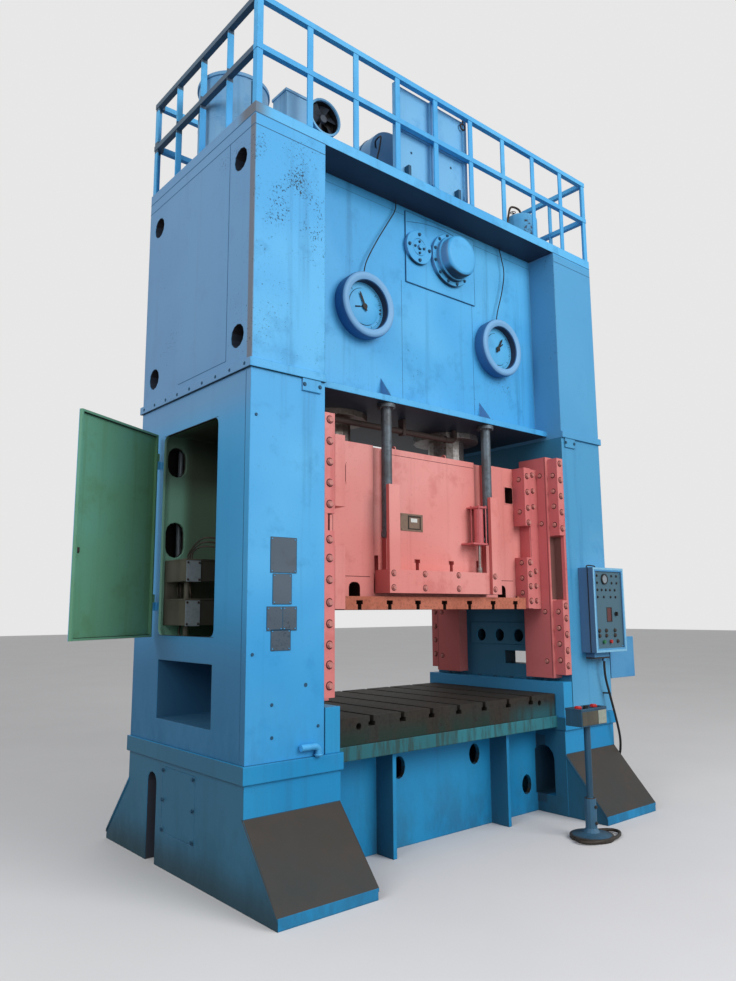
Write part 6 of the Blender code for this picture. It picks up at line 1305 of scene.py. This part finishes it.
# Cables: the routes are the ones of the CAD solids
cableRoutes = {
    "control_cable": {"radius": 0.011, "stiffness": "medium", "points": [
        (1.800, -0.905, 1.2947), (1.800, -0.905, 1.27), (1.800, -0.905, 1.24), (1.812, -0.902, 1.16),
        (1.838, -0.900, 1.08), (1.866, -0.902, 1.00), (1.890, -0.906, 0.92), (1.912, -0.911, 0.84),
        (1.936, -0.914, 0.76), (1.962, -0.914, 0.68), (1.990, -0.908, 0.60), (2.020, -0.890, 0.52),
        (2.052, -0.858, 0.44), (2.082, -0.810, 0.36), (2.100, -0.755, 0.29), (2.104, -0.700, 0.235),
        (2.090, -0.650, 0.207), (2.068, -0.620, 0.200), (2.054, -0.620, 0.200), (2.0403, -0.620, 0.200)]},
    "dial_cable_left": {"radius": 0.005, "stiffness": "medium", "points": [
        (-0.440, -0.570, 5.2147), (-0.440, -0.570, 5.200), (-0.440, -0.570, 5.185), (-0.460, -0.576, 5.110),
        (-0.548, -0.583, 4.970), (-0.672, -0.584, 4.770), (-0.780, -0.586, 4.570), (-0.810, -0.588, 4.470),
        (-0.810, -0.588, 4.453), (-0.810, -0.588, 4.4371)]},
    "dial_cable_right": {"radius": 0.005, "stiffness": "medium", "points": [
        (0.905, -0.570, 5.2147), (0.905, -0.570, 5.200), (0.905, -0.570, 5.185), (0.922, -0.576, 5.110),
        (0.946, -0.583, 4.960), (0.905, -0.584, 4.760), (0.835, -0.586, 4.560), (0.810, -0.588, 4.470),
        (0.810, -0.588, 4.453), (0.810, -0.588, 4.4371)]},
}


def makeCord(node, setup):
    route = smoothPath(setup["points"], 4)
    data = bpy.data.curves.new(node.replace("_", "") + "Line", "CURVE")
    data.dimensions = "3D"
    data.bevel_depth = setup["radius"]
    data.bevel_resolution = 3
    data.use_fill_caps = True
    spline = data.splines.new("POLY")
    spline.points.add(len(route) - 1)
    spline.points.foreach_set("co", np.hstack([route, np.ones((len(route), 1))]).ravel())
    cord = bpy.data.objects.new(node.replace("_", "-"), data)
    bpy.context.scene.collection.objects.link(cord)
    data.materials.append(blackRubber)
    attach(cord, "frame")
    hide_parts(node)


for node, setup in cableRoutes.items():
    makeCord(node, setup)


# Floor and lights; the floor and the sky look pale, and cast less light than they show
studio = {"floor": (0.62, 0.62, 0.63), "bounce": (0.16, 0.16, 0.165), "sky": 0.80, "ambient": 0.55,
          "key": ((2.5, -11.0, 8.0), (0.2, -0.4, 2.9), 8.0, 1050.0),
          "side": ((-9.5, -2.5, 6.5), (-2.0, 0.0, 3.2), 6.0, 420.0),
          "low": ((-2.5, -7.5, 1.4), (0.0, 0.0, 2.2), 3.5, 60.0)}


def lookOnly(tree):
    # 1 where the camera, gloss or glass looks, and 0 where light is cast
    path = tree.nodes.new("ShaderNodeLightPath")
    value = path.outputs["Is Camera Ray"]
    for name in ("Is Glossy Ray", "Is Transmission Ray"):
        most = tree.nodes.new("ShaderNodeMath")
        most.operation = "MAXIMUM"
        tree.links.new(value, most.inputs[0])
        tree.links.new(path.outputs[name], most.inputs[1])
        value = most.outputs[0]
    return value


def makeFloor(color, bounce):
    half = 60.0
    data = bpy.data.meshes.new("floor")
    data.from_pydata([(-half, -half, 0), (half, -half, 0), (half, half, 0), (-half, half, 0)], [],
                     [(0, 1, 2, 3)])
    floor = bpy.data.objects.new("floor", data)
    bpy.context.scene.collection.objects.link(floor)
    n = Nodes("floorPaint")
    seen = n.blend(n.spread(n.noise(0.6), 0.3, 0.7), color, tuple(0.97 * part for part in color))
    data.materials.append(n.finish(n.blend(lookOnly(n.tree), bounce, seen), 0.85))


def makeLight(name, setup):
    place, target, size, power = setup
    data = bpy.data.lights.new(name, "AREA")
    data.shape = "DISK"
    data.size = size
    data.energy = power
    light = bpy.data.objects.new(name, data)
    bpy.context.scene.collection.objects.link(light)
    light.location = place
    light.rotation_euler = (Vector(target) - Vector(place)).to_track_quat("-Z", "Y").to_euler()


makeFloor(studio["floor"], studio["bounce"])
for lamp in ("key", "side", "low"):
    makeLight(lamp, studio[lamp])
world = bpy.data.worlds.new("studio")
bpy.context.scene.world = world
world.use_nodes = True
tree = world.node_tree
background = tree.nodes["Background"]
background.inputs[0].default_value = (1.0, 1.0, 1.0, 1.0)
level = tree.nodes.new("ShaderNodeMix")
tree.links.new(lookOnly(tree), level.inputs[0])
level.inputs[2].default_value = studio["ambient"]
level.inputs[3].default_value = studio["sky"]
tree.links.new(level.outputs[0], background.inputs[1])

print("scene done")
